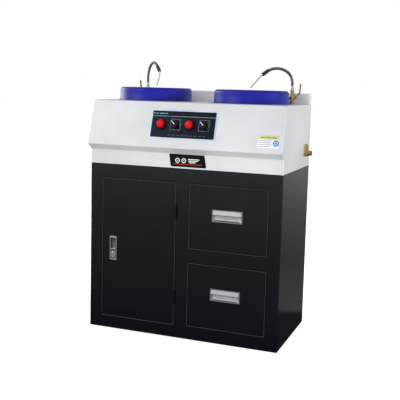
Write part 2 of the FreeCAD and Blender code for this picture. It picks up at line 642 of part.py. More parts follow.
def wheel(side):
    """The grinding disc: a flat plate, a bored boss on the spindle and a skirt over the basin's collar."""
    low = DISC_TOP_Z - DISC_T
    bore_top = 925.0
    boss_low, skirt_low = 904.0, 893.0
    profile = [(SPINDLE_R, boss_low), (14.0, boss_low), (14.0, low), (COLLAR_R + 3, low),
               (COLLAR_R + 3, skirt_low), (COLLAR_R + 6, skirt_low), (COLLAR_R + 6, low), (DISC_R, low),
               (DISC_R, DISC_TOP_Z), (0, DISC_TOP_Z), (0, bore_top), (SPINDLE_R, bore_top)]
    return lathe(profile, side * DISC_X, DISC_Y)


def polishing_cloth(side):
    return rod(DISC_R - 1.5, Vector(side * DISC_X, DISC_Y, DISC_TOP_Z), UP, 1.6)


# ================================================================ drive
def bolt_places(side, z):
    """The places of a motor's four bolts round the wheel's axis, at height z."""
    angles = [math.radians(45 + 90 * corner) for corner in range(4)]
    centre = Vector(side * DISC_X, DISC_Y, z)
    return [centre + Vector(math.cos(angle), math.sin(angle), 0) * BOLT_CIRCLE_R for angle in angles]


def motor_frame():
    """A bridge plate that carries both motors, on four angle legs standing on the cabinet top."""
    x, y0, y1, leg = 385.0, -112.0, 74.0, 30.0
    plate = box(-x, x, y0, y1, *MOTOR_PLATE_Z)
    for side in (-1, 1):
        plate = plate.cut(rod(45.3, Vector(side * DISC_X, DISC_Y, MOTOR_PLATE_Z[0] - 1), UP, 10))
        for place in bolt_places(side, MOTOR_PLATE_Z[0] - 1):
            plate = plate.cut(rod(BOLT_HOLE_R, place, UP, 10))
    legs = []
    for x0, x1 in ((-x, -x + leg), (x - leg, x)):
        for a, b in ((y0, y0 + leg), (y1 - leg, y1)):
            post = box(x0, x1, a, b, CABINET_H, MOTOR_PLATE_Z[0])
            outer_x = (x0 + 3, x1 + 1) if x0 < 0 else (x0 - 1, x1 - 3)
            outer_y = (a + 3, b + 1) if a < 0 else (a - 1, b - 3)
            legs.append(post.cut(box(*outer_x, *outer_y, CABINET_H - 1, MOTOR_PLATE_Z[0] + 1)))
    return fuse([plate] + legs)


def motor_housing(side):
    """A flange motor's frame: finned barrel, mounting flange with spigot, and the lower end shield."""
    fin_depth, fin_t, fins = 7.0, 2.6, 24
    top = MOTOR_PLATE_Z[0]
    shield_in = 13.0
    seat_r, seat = 23.5, 14.0
    spigot_top = MOTOR_PLATE_Z[1]
    low = MOTOR_BOTTOM_Z
    profile = [(shield_in, low), (MOTOR_R - fin_depth, low), (MOTOR_R - fin_depth, top - 12),
               (MOTOR_FLANGE_R, top - 12), (MOTOR_FLANGE_R, top), (45.0, top), (45.0, spigot_top),
               (shield_in, spigot_top), (shield_in, spigot_top - 3), (seat_r, spigot_top - 3),
               (seat_r, spigot_top - 3 - seat), (48.0, spigot_top - 3 - seat), (48.0, low + 17),
               (seat_r, low + 17), (seat_r, low + 3), (shield_in, low + 3)]
    x = side * DISC_X
    barrel = lathe(profile, x, DISC_Y)
    root = x + MOTOR_R - fin_depth - 1
    fin = box(root, x + MOTOR_R, DISC_Y - fin_t / 2, DISC_Y + fin_t / 2, low + 4, top - 12)
    ribs = [fin.rotated(Vector(x, DISC_Y, 0), UP, 360.0 * i / fins) for i in range(fins)
            if i not in (17, 18, 19)]
    barrel = barrel.fuse(ribs)
    for place in bolt_places(side, top - 20):
        barrel = barrel.cut(rod(BOLT_HOLE_R, place, UP, 40))
    return barrel.removeSplitter()


def motor_stators():
    return group([pipe(47.9, ROTOR_R + 0.8, Vector(side * DISC_X, DISC_Y, 735), UP, 90) for side in (-1, 1)])


def bearing_positions(side):
    x = side * DISC_X
    upper = MOTOR_PLATE_Z[1] - 17
    return [Vector(x, DISC_Y, upper), Vector(x, DISC_Y, MOTOR_BOTTOM_Z + 3)]


def motor_bearings():
    """Deep-groove ball bearings, 20 x 47 x 14, two to a motor."""
    rings = []
    for side in (-1, 1):
        for place in bearing_positions(side):
            rings.append(pipe(23.5, SPINDLE_R + RUNNING_CLEARANCE, place, UP, 14))
    return group(rings)


def motor_fan_covers():
    covers = []
    for side in (-1, 1):
        x, low, high, wall = side * DISC_X, 668.0, MOTOR_BOTTOM_Z - 0.5, 1.5
        outer = MOTOR_R - 4
        cover = rod(outer, Vector(x, DISC_Y, low), UP, high - low)
        cover = cover.cut(rod(outer - wall, Vector(x, DISC_Y, low + wall), UP, high))
        for i in range(10):
            slot = box(x + 14, x + 44, DISC_Y - 2, DISC_Y + 2, low - 1, low + wall + 1)
            cover = cover.cut(slot.rotated(Vector(x, DISC_Y, 0), UP, 36.0 * i))
        cover = cover.fuse(pipe(outer, outer - 8, Vector(x, DISC_Y, high), UP, 0.5))
        covers.append(cover.removeSplitter())
    return group(covers)


def terminal_boxes():
    boxes = []
    for side in (-1, 1):
        x, y = side * DISC_X, DISC_Y - MOTOR_R + 6.9
        case = box(x - 32, x + 32, y - 34, y, 752, 822)
        case = rounded_edges(case, 4.0, lambda e: abs(e.CenterOfMass.y - (y - 34)) < 0.1)
        hollow = box(x - 29, x + 29, y - 31, y - 3, 755, 819)
        gland = rod(8.0, Vector(x, y - 17, 744), UP, 9)
        boxes.append(case.fuse(gland).cut(hollow).cut(rod(CABLE_R, Vector(x, y - 17, 740), UP, 20)))
    return group(boxes)


def rotor(side):
    """The motor's shaft with its rotor and cooling fan; the upper end is the wheel's spindle."""
    x = side * DISC_X
    shaft = rod(SPINDLE_R, Vector(x, DISC_Y, 674), UP, 925 - 674)
    core = rod(ROTOR_R, Vector(x, DISC_Y, 732), UP, 96)
    hub = rod(15.0, Vector(x, DISC_Y, 675), UP, 14)
    blades = []
    for i in range(8):
        blade = box(x + 8, x + 46, DISC_Y - 1, DISC_Y + 1, 675, 689)
        blades.append(blade.rotated(Vector(x, DISC_Y, 0), UP, 45.0 * i))
    shoulder = rod(12.0, Vector(x, DISC_Y, 880), UP, 24)
    return fuse([shaft, core, hub, shoulder] + blades)


# ================================================================ water and drain
def drain_pipes():
    """Flexible pipes from both basins down to a cross pipe, which leaves through the back."""
    outer, inner = 15.0, DRAIN_R + 2.6
    drops, bores = [], []
    y = DISC_Y + DRAIN_OFFSET
    z = DRAIN_LINE_Z
    for side in (-1, 1):
        x = side * DISC_X
        drops.append(rod(outer, Vector(x, y, z), UP, BASIN_FLOOR_Z - 4 - z))
        drops.append(Part.makeSphere(outer, Vector(x, y, z)))
        bores += [rod(inner, Vector(x, y, z), UP, 200), Part.makeSphere(inner, Vector(x, y, z))]
    line = rod(outer, Vector(-DISC_X, y, z), RIGHT, 2 * DISC_X)
    line_bore = rod(inner, Vector(-DISC_X, y, z), RIGHT, 2 * DISC_X)
    tail = rod(OUTLET_R, Vector(0, y, z), -FORWARD, OUTLET_END_Y - y)
    flange = rod(19.0, Vector(0, BACK_Y, z), -FORWARD, 4)
    tail_bore = rod(10.0, Vector(0, y, z), -FORWARD, OUTLET_END_Y - y + 5)
    solid = fuse(drops + [line, tail, flange])
    return solid.cut(fuse(bores + [line_bore, tail_bore]))


def water_pipes():
    """Copper pipe from the inlet along the back to both valve tails."""
    z, y = INLET_Z, VALVE_Y
    turn_x = 372.0
    runs = [rod(PIPE_R, Vector(turn_x, INLET_Y, z), RIGHT, SIDE_X - HOUSING_T - 8 - turn_x),
            rod(PIPE_R, Vector(turn_x, INLET_Y, z), -FORWARD, y - INLET_Y),
            rod(PIPE_R, Vector(-VALVE_X, y, z), RIGHT, turn_x + VALVE_X)]
    for corner in ((turn_x, INLET_Y), (turn_x, y), (-VALVE_X, y)):
        runs.append(Part.makeSphere(PIPE_R, Vector(*corner, z)))
    for side in (-1, 1):
        runs.append(rod(PIPE_R, Vector(side * VALVE_X, y, z), UP, DECK_Z - PIPE_GAP - z))
    return fuse(runs)


def inlet_elbow():
    """A brass wall elbow: tall body against the side of the housing and a threaded spigot below."""
    body_w, body_t = 27.0, 13.0
    z0, z1 = 722.0, 773.0
    x = SIDE_X
    body = box(x, x + body_t, INLET_Y - body_w / 2, INLET_Y + body_w / 2, z0, z1)
    body = rounded_edges(body, 6.0, lambda e: e.Length < body_t + 0.01)
    body = rounded_edges(body, 2.0, lambda e: abs(e.CenterOfMass.x - x - body_t) < 0.01)
    neck = rod(INLET_R, Vector(x - HOUSING_T - 14, INLET_Y, INLET_Z), RIGHT, HOUSING_T + 15)
    nut = hexagon(30.0, Vector(x - HOUSING_T - 7, INLET_Y, INLET_Z), RIGHT, 7)
    spigot = rod(INLET_R, Vector(x + body_t - 1, INLET_Y, INLET_Z), RIGHT, 18)
    hexed = hexagon(24.0, Vector(x + body_t - 1, INLET_Y, INLET_Z), RIGHT, 5)
    bore = rod(6.5, Vector(x + 2, INLET_Y, INLET_Z), RIGHT, 60)
    tail_bore = rod(PIPE_R, Vector(x - 30, INLET_Y, INLET_Z), RIGHT, 30 - HOUSING_T - 8)
    return fuse([body, neck, nut, spigot, hexed]).cut(bore).cut(tail_bore)


def valve_body(side):
    """A small brass ball valve standing on the deck, its stem pointing outwards."""
    def at(z):
        return Vector(VALVE_X, VALVE_Y, DECK_Z + z)
    tail = rod(9.7, at(-PIPE_GAP), UP, PIPE_GAP + 1)
    tail_nut = hexagon(28.0, at(-11), UP, 7)
    foot = hexagon(25.0, at(0), UP, 9)
    waist = rod(9.0, at(9), UP, 12)
    ball = Part.makeSphere(14.0, at(28)).common(rod(13.0, at(13), UP, 31))
    cap = hexagon(20.0, at(37), UP, 13)
    spigot = rod(SPIGOT_R, at(49), UP, 13)
    stem_housing = hexagon(15.0, Vector(VALVE_X + 10, VALVE_Y, STEM_Z), RIGHT, 7)
    bore = rod(4.0 + RUNNING_CLEARANCE, Vector(VALVE_X + 8, VALVE_Y, STEM_Z), RIGHT, 20)
    waterway = rod(2.5, at(45), UP, 30)
    valve = fuse([tail, tail_nut, foot, waist, ball, cap, spigot, stem_housing]).cut(bore).cut(waterway)
    return valve if side > 0 else mirrored(valve)


def valve_lever(side):
    """A flat handle with a stem; it leans outwards, then runs up alongside the gooseneck."""
    width, thick = 9.0, 2.4
    stem_x = VALVE_X + 8.5
    stem = rod(4.0, Vector(stem_x, VALVE_Y, STEM_Z), RIGHT, 10.5)
    nut = hexagon(8.0, Vector(stem_x + 9.5 + thick, VALVE_Y, STEM_Z), RIGHT, 3)
    x0 = stem_x + 9.5
    outline = [(x0, STEM_Z - 6), (x0 + thick, STEM_Z - 6), (x0 + thick, STEM_Z + 6), (x0 + 15, STEM_Z + 17),
               (x0 + 19, STEM_Z + 57), (x0 + 19 - thick, STEM_Z + 57.3), (x0 + 12.8, STEM_Z + 18),
               (x0, STEM_Z + 7.4)]
    corners = [Vector(px, VALVE_Y - width / 2, pz) for px, pz in outline]
    handle = Part.Face(Part.makePolygon(corners + corners[:1])).extrude(-FORWARD * width)
    lever = fuse([handle, stem, nut])
    return lever if side > 0 else mirrored(lever)


def gooseneck_path(spec):
    """Straight up, two tangent arcs over the top, then straight down to the nozzle."""
    angle = math.radians(spec["heading"])
    along = Vector(math.cos(angle), math.sin(angle), 0)
    start = Vector(spec["side"] * VALVE_X, VALVE_Y, SPIGOT_Z + 12)
    climb = 90.0
    here = start + UP * spec["rise"]
    edges = [Part.LineSegment(start, here).toShape()]

    def direction(degrees):
        return along * math.cos(math.radians(degrees)) + UP * math.sin(math.radians(degrees))

    for radius, turn in spec["arcs"]:
        centre = here + direction(climb - 90) * radius
        points = [centre - direction(climb - 90 - turn * f) * radius for f in (0, 0.5, 1)]
        edges.append(Part.Arc(*points).toShape())
        here = points[2]
        climb -= turn
    end = here + direction(climb) * spec["tail"]
    edges.append(Part.LineSegment(here, end).toShape())
    return Part.Wire(edges), end, direction(climb)


def gooseneck(side_name):
    """Swivel nut, stay-put hose and its end sleeve."""
    spec = GOOSENECKS[side_name]
    path, end, ahead = gooseneck_path(spec)
    start = Vector(spec["side"] * VALVE_X, VALVE_Y, SPIGOT_Z + 12)
    section = Part.Wire(Part.makeCircle(HOSE_R, start, UP))
    hose = path.makePipeShell([section], True, False)
    base = Vector(start.x, start.y, DECK_Z + 50.3)
    nut = hexagon(17.0, base, UP, 9)
    ferrule = rod(7.4, base + UP * 9, UP, start.z - base.z - 9 + 10)
    sleeve = rod(SLEEVE_R, end - ahead * 36, ahead, 37)
    sleeve = rounded_edges(sleeve, 1.5, lambda e: e.Curve.TypeId == "Part::GeomCircle")
    bore = rod(SPIGOT_R + RUNNING_CLEARANCE, base - UP * 1, UP, 13.2)
    nozzle_bore = rod(NOZZLE_R, end - ahead * 6, ahead, 8)
    return fuse([hose, nut, ferrule, sleeve]).cut(bore).cut(nozzle_bore)


def spout_nozzle(side_name):
    """The thin metal tube in the end of a gooseneck's sleeve, bent gently down to its tip."""
    spec = GOOSENECKS[side_name]
    _, end, ahead = gooseneck_path(spec)
    start = end - ahead * 6
    leave = end + ahead * 1.5
    middle = (leave + spec["tip"]) * 0.5 + spec["bow"]
    curve = Part.Arc(leave, middle, spec["tip"]).toShape()
    section = Part.Wire(Part.makeCircle(NOZZLE_R, leave, curve.tangentAt(curve.FirstParameter)))
    tube = Part.Wire([curve]).makePipeShell([section], True, False)
    root = rod(NOZZLE_R, start, ahead, (leave - start).Length)
    return fuse([root, Part.makeSphere(NOZZLE_R, leave), tube])


def cable_gland():
    """Mains inlet: a nylon gland through the back of the housing."""
    place = Vector(GLAND_X, BACK_Y - HOUSING_T - 12, DRAIN_LINE_Z)
    thread = rod(GLAND_R, place, -FORWARD, HOUSING_T + 20)
    nut = hexagon(24.0, Vector(GLAND_X, BACK_Y - HOUSING_T - 5, DRAIN_LINE_Z), -FORWARD, 5)
    hexed = hexagon(22.0, Vector(GLAND_X, BACK_Y, DRAIN_LINE_Z), -FORWARD, 7)
    dome = rod(GLAND_R + 0.5, Vector(GLAND_X, BACK_Y + 7, DRAIN_LINE_Z), -FORWARD, 13)
    dome = rounded_edges(dome, 2.5, lambda e: e.CenterOfMass.y > BACK_Y + 15)
    bore = rod(CABLE_R, place - Vector(0, 5, 0), -FORWARD, 60)
    return fuse([thread, nut, hexed, dome]).cut(bore)


def fasteners():
    """Motor bolts, and the pan-head screws that hold the back panels."""
    pieces = []
    for side in (-1, 1):
        for place in bolt_places(side, MOTOR_PLATE_Z[1]):
            head = hexagon(10.0, place, UP, 5)
            shank = rod(3.9, place - UP * 26, UP, 27)
            pieces.append(fuse([head, shank]))
    screws = [(x, z) for x in (-380.0, 0.0, 380.0) for z in (20.0, 340.0, 660.0)]
    screws += [(x, z) for x in (-380.0, 380.0) for z in (700.0, 955.0)]
    for x, z in screws:
        head = rod(4.5, Vector(x, BACK_Y, z), -FORWARD, 2.4)
        pieces.append(rounded_edges(head, 1.2, lambda e: e.CenterOfMass.y > BACK_Y + 1))
    return group(pieces)


# ================================================================ build
def valve_bodies():
    return group([valve_body(-1), valve_body(1)])


SINGLE_PIECES = (
    base_pan, back_panel, face_frame, centre_partition, cabinet_top, drawer_rails_fixed, door_panel,
    door_hinge_leaves, hinge_fixed_leaves, door_handle_plate, door_lock, housing_shell, splashback,
    control_panel, badge_plate, info_label, switch_plates, switch_bodies, button_bodies, motor_frame,
    motor_stators, motor_bearings, motor_fan_covers, terminal_boxes, drain_pipes, water_pipes, inlet_elbow,
    valve_bodies, cable_gland, fasteners,
)
SIDES = (("left", -1, BUTTON_X[0], KNOB_X[0]), ("right", 1, BUTTON_X[1], KNOB_X[1]))

os.makedirs("parts", exist_ok=True)

for make in SINGLE_PIECES:
    save(make.__name__, make())

for name, outline in (("upper_drawer", UPPER_DRAWER), ("lower_drawer", LOWER_DRAWER)):
    save(name + "_box", drawer_box(outline))
    save(name + "_front", drawer_front(outline))
    save(name + "_pull", drawer_pull(outline))

for name, side, button_x, knob_x in SIDES:
    save("side_panel_" + name, side_panel(side))
    save("basin_" + name, basin(side))
    save("splash_ring_" + name, splash_ring(side))
    save("grinding_disc_" + name, wheel(side))
    save("polishing_cloth_" + name, polishing_cloth(side))
    save("motor_housing_" + name, motor_housing(side))
    save("motor_rotor_" + name, rotor(side))
    save("button_head_" + name, button_head(button_x))
    save("selector_knob_" + name, selector_knob(knob_x))
    save("valve_lever_" + name, valve_lever(side))
    save("gooseneck_" + name, gooseneck(name))
    save("spout_nozzle_" + name, spout_nozzle(name))
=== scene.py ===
import random
from math import atan2, cos, pi, radians, sin, sqrt, tan

import bmesh
import bpy
from mathutils import Matrix, Vector


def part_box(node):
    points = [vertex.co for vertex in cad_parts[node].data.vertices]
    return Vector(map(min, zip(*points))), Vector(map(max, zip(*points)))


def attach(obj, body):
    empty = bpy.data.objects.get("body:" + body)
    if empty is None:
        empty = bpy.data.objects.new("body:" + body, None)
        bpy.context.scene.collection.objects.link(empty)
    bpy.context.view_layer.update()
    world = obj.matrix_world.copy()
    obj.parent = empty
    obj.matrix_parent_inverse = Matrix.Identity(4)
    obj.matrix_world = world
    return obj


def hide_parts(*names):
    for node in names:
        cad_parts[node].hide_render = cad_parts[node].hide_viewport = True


# Looks of a twin-disc wet grinding and polishing machine. Lengths in the helpers and tables below are
# millimetres unless a name says otherwise. Everything is scaled to metres as its mesh is made.

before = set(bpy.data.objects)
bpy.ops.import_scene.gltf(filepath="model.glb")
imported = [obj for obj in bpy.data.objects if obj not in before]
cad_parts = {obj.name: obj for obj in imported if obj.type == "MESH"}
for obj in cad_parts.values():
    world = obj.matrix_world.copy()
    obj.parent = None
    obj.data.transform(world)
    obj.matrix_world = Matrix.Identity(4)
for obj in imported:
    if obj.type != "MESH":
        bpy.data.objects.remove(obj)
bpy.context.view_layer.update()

MM = 0.001
SIDES = (("left", -1), ("right", 1))

# Places and sizes that the CAD model also uses.
FRONT_Y, BACK_Y = -212.0, 212.0
NOSE_Y, NOSE_Z = -243.5, 757.0
DECK_FRONT_Y, DECK_Z = -190.0, 932.0
SLANT_LEAN = atan2(DECK_FRONT_Y - NOSE_Y, DECK_Z - NOSE_Z)
PANEL = (-136.0, 134.0, 37.0, 150.0)
PANEL_T = 1.5
CONTROL_UP = 92.5
BUTTON_X = {"left": -90.5, "right": 27.5}
KNOB_X = {"left": -31.5, "right": 86.5}
LABEL = (302.0, 387.0, 18.0, 70.0)
DISC_X, DISC_Y = 207.5, -15.0
DISC_TOP_Z = 940.0
RING_R, RING_T, RING_LIP_R = 149.0, 3.0, 136.0
RING_LOW, RING_TOP = 934.0, 985.5
SPIGOT_Z = DECK_Z + 53.0
SWITCH_PLATE = 45.0
BUTTON_BASE = 11.5
DISC_R = 115.0
DRAIN_OFFSET = 107.0
LOCK_X, LOCK_Z, PLATE_Z = -296.5, 308.0, 335.0
PULL_W, PULL_H = 123.0, 48.0
PULL_CENTRES = {"upper": (187.0, 503.75), "lower": (187.0, 192.75)}
BASIN_R, BASIN_T = 134.0, 3.0
BASIN_FLOOR_Z = 880.0
VALVE_X, VALVE_Y = 327.6, 160.0
STEM_Z = DECK_Z + 28.0
INLET_Y, INLET_Z = 120.0, 736.0
SIDE_X = 400.0
DRAIN_LINE_Z = 712.0
GLAND_X = -300.0


# ---------------- materials
class Nodes:
    """A node tree with short calls for the usual nodes."""

    def __init__(self, tree, coordinates):
        self.tree = tree
        self.where = self.add("TexCoord").outputs[coordinates]

    def add(self, kind, **settings):
        node = self.tree.nodes.new("ShaderNode" + kind)
        for key, value in settings.items():
            setattr(node, key, value)
        return node

    def join(self, source, target):
        self.tree.links.new(source, target)

    def feed(self, target, value):
        if isinstance(value, (int, float)):
            target.default_value = value
        elif isinstance(value, tuple):
            target.default_value = value + (1.0,) * (len(target.default_value) - len(value))
        else:
            self.join(value, target)

    def made(self, kind, inputs, output=0, **settings):
        """An output of a new node whose named inputs are fed."""
        node = self.add(kind, **settings)
        for socket, value in inputs.items():
            self.feed(node.inputs[socket], value)
        return node.outputs[output]

    def split(self):
        return self.made("SeparateXYZ", {0: self.where}, "X").node.outputs

    def stretched(self, x, y, z):
        return self.made("Mapping", {"Vector": self.where, "Scale": (x, y, z)})

    def noise(self, scale, detail=2.0, roughness=0.5, vector=None, distortion=0.0):
        inputs = {"Vector": vector or self.where, "Scale": scale, "Detail": detail, "Roughness": roughness}
        return self.made("TexNoise", {**inputs, "Distortion": distortion}, "Fac")

    def spread(self, value, low, high, to_low=0.0, to_high=1.0):
        inputs = {"Value": value, "From Min": low, "From Max": high, "To Min": to_low, "To Max": to_high}
        return self.made("MapRange", inputs, "Result")

    def maths(self, operation, a, b=0.5):
        return self.made("Math", {0: a, 1: b}, operation=operation)

    def blend(self, factor, a, b):
        return self.made("Mix", {0: factor, 6: a, 7: b}, 2, data_type="RGBA")

    def seen(self):
        """1 where the camera looks, 0 for every other ray: only the room and the floor use it."""
        return self.add("LightPath").outputs["Is Camera Ray"]


class Graph(Nodes):
    """A node material round one Principled shader."""

    def __init__(self, name, roughness=0.5, metallic=0.0, **inputs):
        self.material = bpy.data.materials.new(name)
        self.material.use_nodes = True
        self.material.node_tree.nodes.clear()
        super().__init__(self.material.node_tree, "Object")
        self.shader = self.add("BsdfPrincipled")
        self.output = self.add("OutputMaterial").inputs["Surface"]
        self.join(self.shader.outputs["BSDF"], self.output)
        for key, value in {"Roughness": roughness, "Metallic": metallic, **inputs}.items():
            self.shader.inputs[key.replace("_", " ")].default_value = value

    def soft_edges(self, radius_mm):
        return self.made("Bevel", {"Radius": radius_mm * MM}, samples=4)

    def rubbed_and_highlit_edges(self, radius_mm):
        """1 on edges, 0 on flats: how far a rounded normal turns from the true one, with noise. It carries
        rubbed wear, and on dark paint also a painted highlight along the edges.
        """
        normals = {0: self.soft_edges(radius_mm), 1: self.add("NewGeometry").outputs["Normal"]}
        dot = self.made("VectorMath", normals, "Value", operation="DOT_PRODUCT")
        patches = self.spread(self.noise(130.0, 4.0, 0.6), 0.42, 0.62)
        return self.maths("MULTIPLY", self.spread(dot, 0.97, 0.55), patches)

    def color(self, value):
        self.feed(self.shader.inputs["Base Color"], value)

    def rough(self, value):
        self.feed(self.shader.inputs["Roughness"], value)

    def bump(self, height, strength, depth_mm, edge_mm=None):
        inputs = {"Height": height, "Strength": strength, "Distance": depth_mm * MM}
        if edge_mm:
            inputs["Normal"] = self.soft_edges(edge_mm)
        self.feed(self.shader.inputs["Normal"], self.made("Bump", inputs))


def scaled(color, factor):
    return tuple(min(1.0, c * factor) for c in color)


def powder_coat(name, color, roughness, peel, worn=None, edge_mm=1.2):
    """Sprayed and baked paint: orange peel, slow colour drift, handling smears and edges in their own tone:
    slightly rubbed, and on dark paint paler as a painted highlight.
    """
    g = Graph(name, roughness=roughness)
    drift = g.noise(3.2, 3.0, 0.55)
    tint = g.blend(g.spread(drift, 0.35, 0.65), scaled(color, 0.93), scaled(color, 1.06))
    fleck = g.spread(g.noise(900.0, 1.0), 0.62, 0.75)
    tint = g.blend(g.maths("MULTIPLY", fleck, 0.25), tint, scaled(color, 1.35))
    # Edge tone: rubbed paint, and where it is paler than a dark paint, also a painted highlight on the edges.
    if worn:
        tint = g.blend(g.rubbed_and_highlit_edges(edge_mm), tint, worn)
    g.color(tint)
    smear = g.noise(14.0, 5.0, 0.62, vector=g.stretched(1.0, 1.0, 0.35), distortion=0.6)
    g.rough(g.spread(smear, 0.3, 0.7, roughness - 0.05, roughness + 0.08))
    g.bump(g.noise(520.0, 2.0, 0.5), peel, 0.05, edge_mm)
    return g.material


def moulded(name, color, roughness, grain, grain_depth, coat=0.0, specular=0.5):
    """Injection-moulded plastic with a fine skin, faint flow marks and light scuffs."""
    g = Graph(name, roughness=roughness, Coat_Weight=coat, Coat_Roughness=0.12, Specular_IOR_Level=specular)
    drift = g.noise(18.0, 4.0, 0.6, vector=g.stretched(1.0, 1.0, 0.4), distortion=0.4)
    g.color(g.blend(g.spread(drift, 0.3, 0.7), scaled(color, 0.9), scaled(color, 1.1)))
    scuff = g.spread(g.noise(220.0, 3.0, 0.7, vector=g.stretched(1.0, 1.0, 6.0)), 0.55, 0.8)
    low = g.spread(g.noise(30.0, 3.0), 0.3, 0.7, roughness - 0.04, roughness + 0.05)
    g.rough(g.maths("ADD", low, g.maths("MULTIPLY", scuff, 0.10)))
    g.bump(g.noise(grain, 2.0, 0.5), 0.25, grain_depth, 0.5)
    return g.material


def metal(name, color, roughness, brush, brush_scale, brush_depth=0.02, tarnish=None):
    """Bare metal: directional fine scratches, uneven polish and a little tarnish in patches."""
    g = Graph(name, roughness=roughness, metallic=1.0)
    patches = g.noise(24.0, 5.0, 0.65)
    tint = g.blend(g.spread(patches, 0.35, 0.65), scaled(color, 0.92), scaled(color, 1.05))
    if tarnish:
        dark = g.spread(g.noise(70.0, 6.0, 0.7, distortion=0.5), 0.52, 0.72)
        tint = g.blend(g.maths("MULTIPLY", dark, 0.6), tint, tarnish)
    g.color(tint)
    lines = g.noise(brush_scale, 2.0, 0.6, vector=g.stretched(*brush))
    g.rough(g.spread(lines, 0.25, 0.75, max(0.03, roughness - 0.07), roughness + 0.08))
    g.bump(lines, 0.2, brush_depth, 0.4)
    return g.material


def turned_metal(name, color, roughness):
    """A faced wheel: fine concentric tool marks about each wheel's own centre."""
    g = Graph(name, roughness=roughness, metallic=1.0)
    split = g.split()
    dx = g.maths("SUBTRACT", g.maths("ABSOLUTE", split["X"]), DISC_X * MM)
    dy = g.maths("SUBTRACT", split["Y"], DISC_Y * MM)
    radius = g.maths("SQRT", g.maths("ADD", g.maths("MULTIPLY", dx, dx), g.maths("MULTIPLY", dy, dy)))
    marks = g.maths("SINE", g.maths("MULTIPLY", radius, 9000.0))
    g.color(g.blend(g.spread(g.noise(30.0, 4.0), 0.3, 0.7), scaled(color, 0.9), scaled(color, 1.05)))
    g.rough(g.spread(marks, -1.0, 1.0, roughness - 0.05, roughness + 0.06))
    g.bump(marks, 0.25, 0.02, 0.6)
    return g.material


def felt(name, color):
    """Short-nap polishing cloth: matted fibres, fuzz and lighter worn patches."""
    g = Graph(name, roughness=0.95, Sheen_Weight=0.35, Sheen_Roughness=0.5)
    fibres = g.noise(1400.0, 4.0, 0.7, distortion=1.6)
    patches = g.noise(26.0, 5.0, 0.65)
    tint = g.blend(g.spread(fibres, 0.35, 0.65), scaled(color, 0.72), scaled(color, 1.18))
    g.color(g.blend(g.maths("MULTIPLY", g.spread(patches, 0.45, 0.7), 0.4), tint, scaled(color, 1.35)))
    g.bump(fibres, 0.6, 0.35)
    return g.material


def film(name, color, roughness=0.32, specular=0.5):
    """Printed film with a faint mesh emboss, as on membrane-faced panels."""
    g = Graph(name, roughness=roughness, Specular_IOR_Level=specular)
    g.color(g.blend(g.spread(g.noise(9.0, 3.0), 0.35, 0.65), scaled(color, 0.85), scaled(color, 1.15)))
    g.rough(g.spread(g.noise(60.0, 4.0, 0.6), 0.3, 0.7, roughness - 0.05, roughness + 0.07))
    g.bump(g.noise(1500.0, 1.0), 0.15, 0.02)
    return g.material


